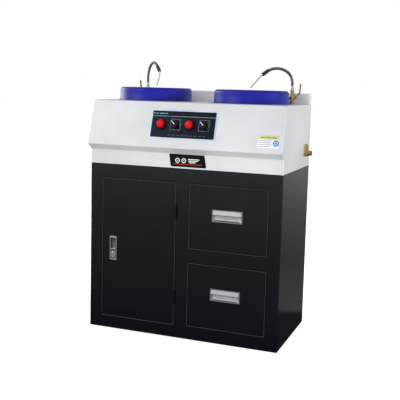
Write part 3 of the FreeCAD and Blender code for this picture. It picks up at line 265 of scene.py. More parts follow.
EVEN, ACROSS, UPRIGHT = (1.0, 1.0, 1.0), (0.05, 1.0, 1.0), (1.0, 1.0, 0.05)
RUBBED_AND_HIGHLIT_BLACK, RUBBED_WHITE, RUBBED_PALE = (0.030, 0.032, 0.038), (0.62, 0.62, 0.63), (0.66, 0.66, 0.67)
M = {
    # The cabinet's edges are painted paler: partly rubbed paint, partly a painted highlight where the edges
    # catch the light.
    "cabinet": powder_coat("cabinet_powder_coat", (0.0034, 0.0040, 0.0066), 0.13, 0.04, RUBBED_AND_HIGHLIT_BLACK, 1.1),
    # The folds' paler, glossier paint is a painted highlight along the door and drawer edges.
    "folded_edge_highlight": powder_coat("folded_edge_painted_highlight", (0.040, 0.043, 0.050), 0.24, 0.04),
    "housing": powder_coat("housing_powder_coat", (0.68, 0.69, 0.712), 0.34, 0.10, RUBBED_WHITE, 1.0),
    # The splashback is the housing's white paint in a paler copy: painted light, set for how light falls on
    # the splashback.
    "splashback": powder_coat("splashback_painted_light_coat", (0.84, 0.865, 0.86), 0.34, 0.10, RUBBED_PALE, 1.0),
    "drawer": powder_coat("drawer_grey_coat", (0.085, 0.088, 0.095), 0.45, 0.25),
    "frame": powder_coat("primer_coat", (0.022, 0.022, 0.024), 0.55, 0.3),
    "motor": powder_coat("motor_enamel", (0.045, 0.085, 0.13), 0.42, 0.45),
    "zinc": metal("zinc_plate", (0.56, 0.57, 0.58), 0.34, (1.0, 0.08, 1.0), 600.0, 0.02, (0.35, 0.35, 0.34)),
    "grip_bar": metal("polished_grip", (0.90, 0.905, 0.91), 0.30, ACROSS, 1400.0, 0.015),
    "plate": metal("dull_chrome", (0.40, 0.405, 0.42), 0.30, UPRIGHT, 1400.0, 0.015),
    "satin": metal("satin_chrome", (0.62, 0.625, 0.635), 0.30, ACROSS, 1400.0, 0.015),
    "shaded": metal("shaded_chrome", (0.20, 0.205, 0.215), 0.30, ACROSS, 1400.0, 0.015),
    "bright": metal("bright_chrome", (0.82, 0.83, 0.84), 0.10, (1.0, 1.0, 0.1), 700.0, 0.008),
    "dark_hose": metal("dark_nickel_hose", (0.26, 0.26, 0.265), 0.24, EVEN, 500.0, 0.02, (0.06, 0.06, 0.06)),
    "steel": metal("ground_steel", (0.52, 0.53, 0.54), 0.26, (1.0, 1.0, 12.0), 500.0),
    "core": metal("varnished_laminations", (0.22, 0.19, 0.17), 0.5, (0.1, 0.1, 30.0), 300.0, 0.05),
    "brass": metal("machined_brass", (0.66, 0.47, 0.21), 0.24, (1.0, 1.0, 10.0), 260.0, 0.02,
                   (0.36, 0.22, 0.08)),
    "copper": metal("drawn_copper", (0.78, 0.42, 0.28), 0.3, EVEN, 300.0, 0.02, (0.25, 0.13, 0.09)),
    "wheel": turned_metal("faced_aluminium", (0.70, 0.71, 0.72), 0.28),
    "ring": moulded("royal_blue_moulding", (0.008, 0.011, 0.30), 0.38, 420.0, 0.02, specular=0.34),
    "basin": moulded("lilac_blue_moulding", (0.20, 0.20, 0.52), 0.24, 380.0, 0.02, coat=0.3),
    "red": moulded("red_button_cap", (0.70, 0.001, 0.004), 0.34, 600.0, 0.012, specular=0.25),
    "black": moulded("black_moulding", (0.005, 0.005, 0.006), 0.36, 520.0, 0.03, specular=0.18),
    "grip": moulded("dipped_vinyl_grip", (0.30, 0.035, 0.025), 0.42, 160.0, 0.06),
    "sleeve": moulded("black_rubber_sleeve", (0.014, 0.014, 0.015), 0.5, 700.0, 0.05),
    "pvc": moulded("grey_pvc", (0.32, 0.33, 0.34), 0.45, 300.0, 0.03),
    "panel": film("panel_navy_film", (0.004, 0.007, 0.020), specular=0.14),
    "panel_header": film("panel_header_film", (0.002, 0.005, 0.008), specular=0.15),
    "panel_dim": film("panel_dim_print", (0.075, 0.040, 0.036)),
    "panel_teal": film("panel_teal_print", (0.13, 0.42, 0.46)),
    "panel_pale": film("panel_pale_print", (0.52, 0.66, 0.80)),
    "panel_line": film("panel_line_print", (0.25, 0.36, 0.42)),
    "pointer": film("white_pointer_inlay", (0.93, 0.93, 0.94)),
    "badge": moulded("badge_black_enamel", (0.003, 0.003, 0.004), 0.16, 300.0, 0.01, specular=0.18),
    "badge_red": film("badge_red_enamel", (0.42, 0.012, 0.016), 0.25),
    "paper": film("label_paper", (0.80, 0.80, 0.79), 0.45),
    "paper_lime": film("label_lime_ink", (0.58, 0.66, 0.17), 0.45),
    "paper_grey": film("label_grey_ink", (0.28, 0.30, 0.36), 0.45),
    "paper_blue": film("label_blue_ink", (0.03, 0.22, 0.66), 0.45),
    "felt": felt("polishing_felt", (0.40, 0.38, 0.345)),
}


def pair(stem):
    return (stem + "_left", stem + "_right")


CARRIED = {
    "cabinet": ("base_pan", *pair("side_panel"), "back_panel", "face_frame", "centre_partition",
                "cabinet_top", "hinge_fixed_leaves", "door_panel", "door_hinge_leaves",
                "upper_drawer_front", "lower_drawer_front"),
    "housing": ("housing_shell",),
    "splashback": ("splashback",),
    "drawer": ("upper_drawer_box", "lower_drawer_box"),
    "zinc": ("drawer_rails_fixed", "fasteners"),
    "plate": ("door_handle_plate",),
    "grip_bar": ("door_lock",),
    "panel": ("control_panel",),
    "badge": ("badge_plate",),
    "paper": ("info_label",),
    "black": ("switch_plates", "switch_bodies", "button_bodies", "cable_gland", *pair("selector_knob")),
    "red": pair("button_head"),
    "basin": pair("basin"),
    "ring": pair("splash_ring"),
    "frame": ("motor_frame", "motor_fan_covers"),
    "motor": (*pair("motor_housing"), "terminal_boxes"),
    "core": ("motor_stators",),
    "steel": ("motor_bearings", *pair("motor_rotor")),
    "wheel": pair("grinding_disc"),
    "felt": pair("polishing_cloth"),
    "pvc": ("drain_pipes",),
    "copper": ("water_pipes",),
    "brass": ("inlet_elbow", "valve_bodies"),
    "grip": pair("valve_lever"),
    "dark_hose": pair("gooseneck"),
    "bright": pair("spout_nozzle"),
}
for material, nodes in CARRIED.items():
    for node in nodes:
        node_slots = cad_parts[node].material_slots
        for node_slot in node_slots:
            node_slot.material = M[material]
        if not node_slots:
            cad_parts[node].data.materials.append(M[material])


# ---------------- forms, in millimetres
class Form:
    """Closed bodies gathered for one mesh; every face carries the number of its material."""

    def __init__(self):
        self.points = []
        self.faces = []
        self.inks = []

    def add(self, body, place=None, ink=0):
        points, faces = body
        first = len(self.points)
        moved = [place @ Vector(p) for p in points] if place else points
        self.points += [tuple(p) for p in moved]
        self.faces += [[first + i for i in face] for face in faces]
        self.inks += [ink] * len(faces)
        return self

    def lathe(self, corners, radii, place, steps=56, ink=0, curve=3, ring=False):
        """Adds a body turned from an outline of (radius, height) with softened corners."""
        return self.add(turned(softened(corners, radii, curve), steps, ring), place, ink)

    def bar(self, x0, x1, y0, y1, height, place, ink=0, radius=0.0):
        """Adds a flat printed bar."""
        return self.add(extruded(rectangle(x0, x1, y0, y1, radius), 0.0, height), place, ink)


def placed(name, data):
    """A new object in the scene."""
    thing = bpy.data.objects.new(name, data)
    bpy.context.scene.collection.objects.link(thing)
    return thing


def piece(name, form, inks, body, stands_for=(), bevel=0.0, sharp=35.0):
    """Makes the form an object that rides on a body, with softly bevelled edges where bevel is given."""
    mesh = bpy.data.meshes.new(name)
    mesh.from_pydata([[c * MM for c in p] for p in form.points], [], form.faces)
    for ink in inks:
        mesh.materials.append(M[ink])
    mesh.polygons.foreach_set("material_index", form.inks)
    shape = bmesh.new()
    shape.from_mesh(mesh)
    bmesh.ops.recalc_face_normals(shape, faces=shape.faces)
    shape.to_mesh(mesh)
    shape.free()
    mesh.shade_smooth()
    mesh.set_sharp_from_angle(angle=radians(sharp))
    thing = placed(name, mesh)
    if bevel:
        rounding = thing.modifiers.new("rounding", "BEVEL")
        rounding.width = bevel * MM
        rounding.segments = 2
        rounding.limit_method = "ANGLE"
        rounding.angle_limit = radians(sharp)
        rounding.harden_normals = True
    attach(thing, body)
    if stands_for:
        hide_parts(*stands_for)
    return thing


def around(steps, radius_at):
    """A closed outline whose radius is worked out from the angle."""
    turns = [2 * pi * k / steps for k in range(steps)]
    return [(radius_at(t) * cos(t), radius_at(t) * sin(t)) for t in turns]


def circle(radius, steps):
    return around(steps, lambda angle: radius)


def tube_section(radius, steps):
    return lambda distance: circle(radius, steps)


def softened(corners, radii, steps=4, closed=True):
    """The outline with a curve at each corner; radii is one number, or one for each corner."""
    count = len(corners)
    if isinstance(radii, (int, float)):
        radii = [radii] * count
    outline = []
    for i, radius in enumerate(radii):
        here = Vector(corners[i])
        if radius <= 0 or (not closed and i in (0, count - 1)):
            outline.append(tuple(here))
            continue
        back = Vector(corners[i - 1]) - here
        ahead = Vector(corners[(i + 1) % count]) - here
        half = back.angle(ahead) / 2
        reach = min(radius / tan(half), 0.48 * back.length, 0.48 * ahead.length)
        back.normalize()
        ahead.normalize()
        for k in range(steps + 1):
            t = k / steps
            outline.append(tuple(here + back * reach * (1 - t) ** 2 + ahead * reach * t ** 2))
    return outline


def joined(rings, wrap=False):
    """Quads between rings of equally many points, closed by caps or by joining the last ring to the first."""
    points = [p for ring in rings for p in ring]
    count, last = len(rings[0]), len(rings) - 1
    faces = []
    for a, b in [(i, i + 1) for i in range(last)] + ([(last, 0)] if wrap else []):
        for k in range(count):
            n = (k + 1) % count
            faces.append([a * count + k, a * count + n, b * count + n, b * count + k])
    if not wrap:
        faces.append(list(range(count)))
        faces.append([last * count + k for k in range(count)])
    return points, faces


def stacked(levels, wrap=False):
    """A body through flat outlines of equally many points, given as (outline, height) pairs."""
    return joined([[(x, y, z) for x, y in outline] for outline, z in levels], wrap)


def turned(profile, steps=64, ring=False):
    """An outline of (radius, height) turned about Z: from pole to pole, or a closed ring."""
    tiny = 0.01
    return stacked([(circle(max(r, tiny), steps), z) for r, z in profile], ring)


def extruded(outline, low, high):
    return stacked([(outline, low), (outline, high)])


def framed(outer, inner, low, high):
    """A flat frame between two outlines of equally many points."""
    return stacked([(outer, low), (outer, high), (inner, high), (inner, low)], wrap=True)


def rectangle(x0, x1, y0, y1, radius=0.0, steps=3):
    return softened([(x0, y0), (x1, y0), (x1, y1), (x0, y1)], max(radius, 0.01), steps)


def centred(x, y, width, height, radius, steps=3):
    return rectangle(x - width / 2, x + width / 2, y - height / 2, y + height / 2, radius, steps)


def hexed(across, low, high, chamfer=1.0, steps=48):
    """A hexagon bar with its corners turned back at both ends."""
    def ring(limit):
        half_turn, sixth = radians(30), radians(60)
        return around(steps, lambda angle: min(across / 2 / cos(angle % sixth - half_turn), limit))
    corner, small = ring(across / sqrt(3)), ring(across / 2 * 1.02)
    return stacked([(small, low), (corner, low + chamfer), (corner, high - chamfer), (small, high)])


def swept(path, section, side=None, hollow=None):
    """A bar along the path; section(distance) is its outline; hollow is (share of size, depth) of a bore."""
    path = [Vector(p) for p in path]
    last = len(path) - 1
    headings = [(path[min(i + 1, last)] - path[max(i - 1, 0)]).normalized() for i in range(last + 1)]
    side = Vector(side) if side else headings[0].orthogonal()
    travelled = 0.0
    rings = []
    for i, (place, heading) in enumerate(zip(path, headings)):
        travelled += (place - path[max(i - 1, 0)]).length
        side = (side - heading * side.dot(heading)).normalized()
        other = heading.cross(side)
        outline = section(travelled)
        rings.append([tuple(place + side * u + other * v) for u, v in outline])
    if hollow:
        share, depth = hollow
        for back in (0.0, depth):
            place = path[-1] - headings[-1] * back
            rings.append([tuple(place + (side * u + other * v) * share) for u, v in outline])
    return joined(rings)


def wound(radius, pitch, depth, steps=24):
    """A round outline with one helical groove, for a wound hose or a screw thread."""
    def section(distance):
        turn = 2 * pi * distance / pitch
        return around(steps, lambda angle: radius - depth * (0.5 - 0.5 * cos(turn - angle)))
    return section


def straight(start, end, step):
    start, end = Vector(start), Vector(end)
    count = max(1, round((end - start).length / step))
    return [start.lerp(end, k / count) for k in range(count + 1)]


def facing(place, direction=(0, 0, 1), spin=0.0):
    """Carries a form made along +Z to a place and a direction."""
    turn = Vector(direction).to_track_quat("Z", "Y").to_matrix().to_4x4()
    return Matrix.Translation(place) @ turn @ Matrix.Rotation(radians(spin), 4, "Z")


UP = Vector((0.0, sin(SLANT_LEAN), cos(SLANT_LEAN)))
OUT = Vector((0.0, -cos(SLANT_LEAN), sin(SLANT_LEAN)))


def on_slant(x=0.0, up=0.0, out=0.0, spin=0.0):
    """Carries a form made flat (X, up the slope, outwards) to a spot on the slanted control face."""
    base = Matrix((Vector((1, 0, 0)), UP, OUT)).transposed().to_4x4()
    origin = Vector((0, NOSE_Y, NOSE_Z)) + Vector((x, 0, 0)) + UP * up + OUT * out
    return Matrix.Translation(origin) @ base @ Matrix.Rotation(radians(spin), 4, "Z")


def on_front(x, z, y=FRONT_Y):
    """Carries a form made flat (X, up, outwards) to a spot on the vertical front."""
    base = Matrix(((1, 0, 0), (0, 0, -1), (0, 1, 0))).to_4x4()
    return Matrix.Translation((x, y, z)) @ base


def on_back(x, z):
    """Carries a form made along +Z to a spot on the back."""
    return facing((x, BACK_Y, z), (0, 1, 0))


# ---------------- rings, cloths and drain strainers
def splash_ring(name, side):
    """A moulded guard: a wall on a beaded foot, its top rolled inwards over the basin."""
    foot_r, foot_h, draft, bead_r = BASIN_R - BASIN_T + 4, 3.0, 0.9, RING_R + 0.7
    inner, roll_w, roll_h = RING_R - RING_T, 11.6, 13.0

    def rolled(radius, top, width, height):
        turns = [radians(9 * k) for k in range(11)]
        return [(radius - width * (1 - cos(t)), top - height * (1 - sin(t))) for t in turns]

    profile = [(foot_r, RING_LOW + foot_h), (foot_r, RING_LOW), (bead_r, RING_LOW),
               (bead_r, RING_LOW + 2.6), (RING_R, RING_LOW + 3.6)]
    profile += rolled(RING_R - draft, RING_TOP, roll_w, roll_h)
    profile += [(RING_LIP_R, RING_TOP - 0.4), (RING_LIP_R - 0.6, RING_TOP - RING_T / 2),
                (RING_LIP_R, RING_TOP - RING_T + 0.4)]
    profile += reversed(rolled(inner - draft, RING_TOP - RING_T, roll_w - 1, roll_h - RING_T))
    profile.append((inner, RING_LOW + foot_h))
    form = Form().add(turned(profile, 144, ring=True), facing((side * DISC_X, DISC_Y, 0)))
    piece("splash_guard_" + name, form, ["ring"], "cabinet", ["splash_ring_" + name], 0, 50)


def cloth(name, side):
    """Polishing cloth: a thin pad with a softly rounded edge and an uneven nap."""
    rng = random.Random(7 + side)
    radius, thick, rows, nap = DISC_R - 1.5, 1.6, 26, 0.12
    low = DISC_TOP_Z
    profile = [(0.0, low), (radius, low), (radius + 0.1, low + 0.8), (radius - 0.7, low + thick)]
    profile += [(radius * (1 - k / rows) - 0.7, low + thick) for k in range(1, rows)]
    profile.append((0.0, low + thick))
    points, faces = turned(profile, 120)
    points = [(x, y, z - rng.random() * nap if z > low + 1 else z) for x, y, z in points]
    form = Form().add((points, faces), facing((side * DISC_X, DISC_Y, 0)))
    piece("felt_pad_" + name, form, ["felt"], name + "_wheel", ["polishing_cloth_" + name], sharp=60)


def drain_strainer(name, side):
    """A dished steel rosette over the drain in the basin's floor."""
    spot = (side * DISC_X, DISC_Y + DRAIN_OFFSET, BASIN_FLOOR_Z + BASIN_T)
    rim = [(9.2, -2.0), (13.0, -0.2), (13.4, 0.8), (9.6, 1.0)]
    form = Form().lathe(rim, 0.3, facing(spot), 48, ring=True)
    bar = softened([(0, -10.0, 0.2), (0, 0, -1.2), (0, 10.0, 0.2)], 12.0, 8, closed=False)
    for k in range(3):
        form.add(swept(bar, tube_section(0.9, 10)), facing(spot, spin=60 * k))
    piece("drain_strainer_" + name, form, ["bright"], "cabinet")


# ---------------- water fittings
GOOSENECKS = {
    "right": {"heading": 235.5, "rise": 19.0, "arcs": ((52.0, 62.0), (115.0, 59.0)), "tail": 22.0,
              "tip": (204.5, -19.5, 995.5), "bow": (0.0, 0.0, 0.8)},
    "left": {"heading": -45.5, "rise": 23.0, "arcs": ((72.0, 75.0), (70.0, 51.0)), "tail": 40.0,
             "tip": (-206.0, -15.0, 995.5), "bow": (6.0, -3.0, 3.0)},
}
HOSE_R, SLEEVE_R, SLEEVE_LEN, NOZZLE_R = 6.0, 7.4, 36.0, 2.7
NUT_LOW = DECK_Z + 50.3
NUT_H = 9.0


def gooseneck_line(name, side, step=0.6):
    """Straight up out of the ferrule, over in two arcs, and straight down to the sleeve's end."""
    spec = GOOSENECKS[name]
    heading = radians(spec["heading"])
    along = Vector((cos(heading), sin(heading), 0))
    here = Vector((side * VALVE_X, VALVE_Y, SPIGOT_Z + 12))
    line = [here.copy()]
    climb = radians(90)
    runs = [(spec["rise"], 0.0)]
    runs += [(radius * radians(turn), radians(turn)) for radius, turn in spec["arcs"]]
    runs.append((spec["tail"], 0.0))
    for length, turn in runs:
        count = max(2, round(length / step))
        for _ in range(count):
            climb -= turn / count / 2
            here = here + (along * cos(climb) + Vector((0, 0, sin(climb)))) * (length / count)
            climb -= turn / count / 2
            line.append(here.copy())
    ahead = along * cos(climb) + Vector((0, 0, sin(climb)))
    return line, ahead


def gooseneck(name, side):
    """The wound hose, its nut and ferrule below, and its rubber sleeve at the free end."""
    line, ahead = gooseneck_line(name, side)
    start, end = line[0], line[-1]
    base = Vector((start.x, start.y, NUT_LOW))
    top, sleeve_r, groove_r = start.z - NUT_LOW - NUT_H + 10, SLEEVE_R, SLEEVE_R - 0.8
    form = Form().add(swept(line, wound(HOSE_R, 2.7, 0.75)))
    form.add(hexed(17.0, 0.0, NUT_H, 0.9), facing(base), ink=1)
    ferrule = [(0, 0), (7.2, 0), (7.2, 3.0), (6.6, 3.6), (6.6, 5.0), (7.2, 5.6), (7.0, top), (0, top)]
    form.lathe(ferrule, [0, 0.5, 0.3, 0.3, 0.3, 0.3, 1.2, 0], facing(base + Vector((0, 0, NUT_H))), 40, 1, 4)
    sleeve = [(0, 0), (sleeve_r - 0.9, 0), (sleeve_r, 3), (sleeve_r, SLEEVE_LEN - 6),
              (groove_r, SLEEVE_LEN - 5), (groove_r, SLEEVE_LEN - 3.5), (sleeve_r, SLEEVE_LEN - 2.5),
              (sleeve_r - 0.6, SLEEVE_LEN + 1), (3.4, SLEEVE_LEN + 1), (0, SLEEVE_LEN + 1)]
    sleeve_radii = [0, 1.0, 2.0, 0.5, 0.4, 0.4, 0.5, 1.0, 0.3, 0]
    form.lathe(sleeve, sleeve_radii, facing(end - ahead * SLEEVE_LEN, ahead), 40, 2, 4)
    piece("hose_" + name, form, ["dark_hose", "bright", "sleeve"], name + "_spout",
          ["gooseneck_" + name], sharp=60)


def nozzle(name, side):
    """The thin bent tube out of the sleeve, open at its tip, with a collar."""
    spec = GOOSENECKS[name]
    line, ahead = gooseneck_line(name, side)
    leave, tip = line[-1] + ahead * 1.0, Vector(spec["tip"])
    middle = (leave + tip) / 2 + Vector(spec["bow"])
    pull = middle * 2 - (leave + tip) / 2
    steps = 40
    curve = [leave - ahead * 5]
    for k in range(steps + 1):
        t = k / steps
        curve.append(leave * (1 - t) ** 2 + pull * 2 * t * (1 - t) + tip * t ** 2)
    form = Form().add(swept(curve, tube_section(NOZZLE_R - 0.15, 24), hollow=(0.72, 6.0)))
    collar = [(0, -1), (4.6, -1), (4.6, 3.0), (3.3, 4.4), (0, 4.4)]
    form.lathe(collar, [0, 0.5, 0.6, 0.5, 0], facing(leave, ahead), 32, curve=4)
    piece("water_nozzle_" + name, form, ["bright"], name + "_spout", ["spout_nozzle_" + name],
          sharp=50)


def water_valve(side):
    """Brass ball valve: hexagon foot, ball housing, cap, threaded spigot, and the stem's housing outwards."""
    spot = Vector((side * VALVE_X, VALVE_Y, DECK_Z))
    form = Form().add(hexed(25.0, 0.0, 9.0, 1.0), facing(spot))
    ball = [(0, 8), (9.0, 8), (9.0, 10.5), (8.0, 11.2), (8.0, 12.4), (9.4, 13.4), (13.4, 21), (13.9, 28),
            (13.0, 35), (10.5, 38), (0, 38)]
    form.lathe(ball, [0, 0.4, 0.4, 0.4, 0.4, 1, 6, 7, 4, 1, 0], facing(spot), curve=5)
    form.lathe([(13.2, 26.6), (14.6, 26.6), (14.6, 29.4), (13.2, 29.4)], 0.4, facing(spot), ring=True)
    form.add(hexed(20.0, 37.2, 49.6, 1.0), facing(spot, spin=15))
    thread = straight(spot + Vector((0, 0, 49)), spot + Vector((0, 0, 61)), 0.3)
    form.add(swept(thread, wound(4.4, 1.6, 0.35), hollow=(0.6, 6.0)))
    stem = Vector((side * (VALVE_X + 9.5), VALVE_Y, STEM_Z))
    form.add(hexed(15.0, 0.0, 7.2, 0.8), facing(stem, (side, 0, 0)))
    return form


def water_valves():
    """Both valves; the first one stands for the CAD node that holds the pair."""
    for name, side in SIDES:
        stands_for = ["valve_bodies"] if side < 0 else ()
        piece("ball_valve_" + name, water_valve(side), ["brass"], "cabinet", stands_for, 0.25, 28)


def tap_lever(name, side):
    """A bent steel strip held by a nut, its upper length dipped in vinyl."""
    hub_x, grip_from = VALVE_X + 19.2, 17.0
    corners = [(hub_x, 0, -7), (hub_x, 0, 5), (hub_x + 13.5, 0, 18), (hub_x + 17, 0, 57)]
    line = [Vector(p) for p in softened(corners, 9.0, 8, closed=False)]
    fine = []
    for a, b in zip(line, line[1:]):
        fine += straight(a, b, 0.8)[:-1]
    fine.append(line[-1])
    grip_len = sum((b - a).length for a, b in zip(fine, fine[1:])) - grip_from

    def dipped(distance):
        along = distance / grip_len
        swell = min(1.0, 0.55 + distance / 4.0, 0.35 + (1 - along) * grip_len / 3.0)
        taper = 1.0 - 0.12 * along
        ripple = 0.25 * sin(distance * 1.1)
        return centred(0, 0, 4.6 * swell, (11.0 * taper + ripple) * (0.75 + 0.25 * swell), 2.2 * swell)

    travelled = 0.0
    upper = [fine[0]]
    for a, b in zip(fine, fine[1:]):
        travelled += (b - a).length
        upper = [b] if travelled < grip_from else upper + [b]
    place = Matrix.Translation((0, VALVE_Y, STEM_Z))
    if side < 0:
        place = place @ Matrix.Scale(-1, 4, (1, 0, 0))
    strip = swept(fine, lambda distance: centred(0, 0, 2.3, 9.0, 0.8), side=(1, 0, 0))
    form = Form().add(strip, place, ink=1).add(swept(upper, dipped, side=(1, 0, 0)), place)
    stem = facing((side * (VALVE_X + 8.5), VALVE_Y, STEM_Z), (side, 0, 0))
    form.lathe([(0, 0), (3.9, 0), (3.9, 15.2), (0, 15.2)], [0, 0.3, 0.5, 0], stem, 32, ink=2)
    form.add(hexed(8.0, 11.9, 15.4, 0.5), stem, ink=1)
    piece("tap_lever_" + name, form, ["grip", "zinc", "brass"], name + "_valve_lever",
          ["valve_lever_" + name], sharp=40)


def wall_elbow():
    """Brass water inlet: a rounded wall plate with a screw, a hexagon and a hollow threaded spigot."""
    body_t, low, high, width, outwards = 13.0, 722.0, 773.0, 27.0, (1, 0, 0)
    across = Matrix(((0, 0, 1), (1, 0, 0), (0, 1, 0))).to_4x4()
    steps = ((0.0, 0.0), (body_t - 2.4, 0.4), (body_t - 0.8, 1.0), (body_t, 2.6))
    middle, height = (low + high) / 2, high - low
    body = [(centred(0, middle, width - 2 * d, height - 2 * d, 6.0 - d, 5), x) for x, d in steps]
    form = Form().add(stacked(body), Matrix.Translation((SIDE_X, INLET_Y, 0)) @ across)
    spot = Vector((SIDE_X + body_t, INLET_Y, INLET_Z))
    form.lathe([(0, -1), (12.6, -1), (12.6, 0.8), (0, 0.8)], [0, 0.4, 0.6, 0], facing(spot, outwards), 48)
    form.add(hexed(24.0, 0.2, 4.8, 0.8), facing(spot, outwards))
    thread = straight(spot + Vector((4.0, 0, 0)), spot + Vector((17.0, 0, 0)), 0.3)
    form.add(swept(thread, wound(10.4, 1.81, 0.7, 48), hollow=(0.66, 12.0)))
    screw = (SIDE_X + body_t - 0.4, INLET_Y, high - 9.0)
    form.add(pan_head(4.6, 2.2), facing(screw, outwards), ink=1)
    neck = facing((SIDE_X - 17, INLET_Y, INLET_Z), outwards)
    form.lathe([(0, 0), (10.3, 0), (10.3, 17.2), (0, 17.2)], [0, 0.5, 0, 0], neck, 40)
    piece("wall_elbow", form, ["brass", "zinc"], "cabinet", ["inlet_elbow"], sharp=32)


# ---------------- screws, gland and vents
def pan_head(radius, height, steps=48):
    """A domed screw head with a sunk cross, which grows from the recess's edge to its foot."""
    dome = ((1.0, 0.0), (1.0, 0.35), (0.93, 0.66), (0.78, 0.88), (0.58, 0.98), (0.50, 1.0), (0.44, 1.0),
            (0.34, 1.0), (0.22, 1.0), (0.10, 1.0))
    recess, sunk = 0.47, 0.55
    rings = []
    for share, rise in dome:
        arm_from = 1 - 0.55 * (0.5 / max(share, 0.12)) ** 1.2
        ring = []
        for k, (x, y) in enumerate(circle(radius * share, steps)):
            in_arm = share < recess and abs(cos(2 * (2 * pi * k / steps))) > arm_from
            ring.append((x, y, height * (rise - (sunk if in_arm else 0.0))))
        rings.append(ring)
    return joined(rings)


def back_screws():
    """Pan-head screws of the back panels and, inside, the motors' hexagon bolts."""
    spots = [(x, z) for x in (-380.0, 0.0, 380.0) for z in (20.0, 340.0, 660.0)]
    spots += [(x, z) for x in (-380.0, 380.0) for z in (700.0, 955.0)]
    form = Form()
    for number, (x, z) in enumerate(spots):
        form.add(pan_head(4.5, 2.4), on_back(x, z) @ Matrix.Rotation(0.7 * number, 4, "Z"))
    bolt_circle, plate_top = 65.0, 868.0
    for _, side in SIDES:
        for corner in range(4):
            angle = radians(45 + 90 * corner)
            x, y = side * DISC_X + bolt_circle * cos(angle), DISC_Y + bolt_circle * sin(angle)
            form.add(hexed(10.0, 0.0, 5.0, 0.5), facing((x, y, plate_top), spin=17 * corner))
    piece("screws_and_bolts", form, ["zinc"], "cabinet", ["fasteners"], sharp=30)


def gland():
    """Nylon cable gland: hexagon, ribbed dome nut and a hollow mouth."""
    outer = on_back(GLAND_X, DRAIN_LINE_Z)
    form = Form().add(hexed(22.0, 0.0, 6.8, 0.8), outer)
    steps, ribs = 72, 12

    def ribbed(radius, depth):
        return around(steps, lambda angle: radius - depth * (0.5 + 0.5 * cos(ribs * angle)) ** 3)

    levels = ((6.6, 9.3, 0), (7.4, 9.6, 0.5), (13.5, 9.4, 0.5), (16.5, 8.4, 0.3), (18.8, 6.9, 0),
              (19.6, 5.6, 0), (18.8, 4.6, 0), (8.0, 4.5, 0))
    form.add(stacked([(ribbed(radius, depth), z) for z, radius, depth in levels]), outer)
    inner = facing((GLAND_X, BACK_Y - 15, DRAIN_LINE_Z), (0, 1, 0))
    form.add(hexed(24.0, 6.5, 11.8, 0.8), inner)
    form.lathe([(0, 0), (8.9, 0), (8.9, 15.1), (0, 15.1)], [0, 0.6, 0, 0], inner, 40)
    piece("mains_gland", form, ["black"], "cabinet", ["cable_gland"], sharp=30)


def drain_barbs():
    """Three barb rings and a collar on the drain outlet."""
    place = on_back(0, DRAIN_LINE_Z)
    form = Form()
    for out in (8.0, 15.0, 22.0):
        form.lathe([(12.2, out), (13.5, out), (12.7, out + 5.5), (12.2, out + 5.5)], 0.2, place, ring=True)
    form.lathe([(12.2, 3.6), (18.2, 3.6), (17.4, 5.2), (12.2, 5.2)], 0.4, place, ring=True)
    piece("drain_barbs", form, ["pvc"], "cabinet", sharp=30)


def vent_hoods():
    """Pressed hoods over the cabinet's ventilation slots: a curved scoop, open below."""
    width, rise, proud, pitch, rows, first = 96.0, 8.0, 4.0, 14.0, 8, 520.0
    sheet, count, root = 0.9, 20, BACK_Y - 0.3
    form = Form()
    for x in (-DISC_X, DISC_X):
        for row in range(rows):
            base = first + row * pitch - 0.5
            rings = []
            for k in range(count + 1):
                t = k / count
                swell = sin(pi * t) ** 0.45
                inside = (proud - sheet) * swell
                outline = ((root, base + rise), (BACK_Y + proud * swell * 0.75, base + rise * 0.8),
                           (BACK_Y + proud * swell, base + rise * 0.35), (BACK_Y + proud * swell, base),
                           (max(root, BACK_Y + inside), base), (root + inside * 0.9, base + rise * 0.35),
                           (root + inside * 0.6, base + rise * 0.7))
                rings.append([(x - width / 2 + width * t, y, z) for y, z in outline])
            form.add(joined(rings))
    piece("vent_hoods", form, ["cabinet"], "cabinet", sharp=50)


# ---------------- controls and print
PRINT_T = 0.14


def mushroom_button(name):
    """A red cap on a stem, with a moulded groove round its rim."""
    low, place = BUTTON_BASE, on_slant(BUTTON_X[name], CONTROL_UP)
    corners = [(0, -24), (5.4, -24), (5.4, low - 1.2), (10.4, low - 1.2), (10.4, low), (14.4, low),
               (15.8, low + 1.8), (15.8, low + 4.6), (13.6, low + 9.6), (6.5, low + 11.3), (0, low + 11.5)]
    form = Form().lathe(corners, [0, 0.3, 0.3, 0.4, 0.4, 0.8, 1.4, 3.2, 4.5, 6.0, 0], place, 80, curve=6)
    rim = [(15.4, low + 2.0), (16.05, low + 2.3), (16.05, low + 3.4), (15.4, low + 3.7)]
    form.lathe(rim, 0.2, place, 80, ring=True)
    piece("mushroom_" + name, form, ["red"], name + "_button", ["button_head_" + name], 0, 50)


def bezels():
    """Raised collars round the buttons."""
    corners = [(11.8, PANEL_T), (21.0, PANEL_T), (21.0, 4.0), (19.0, 6.6), (15.2, 6.6), (14.4, 5.3),
               (11.8, 5.3)]
    radii = [0.1, 0.3, 0.8, 1.2, 0.6, 0.4, 0.5]
    form = Form()
    for x in BUTTON_X.values():
        form.lathe(corners, radii, on_slant(x, CONTROL_UP), 72, curve=4, ring=True)
    piece("button_bezels", form, ["black"], "cabinet", sharp=40)


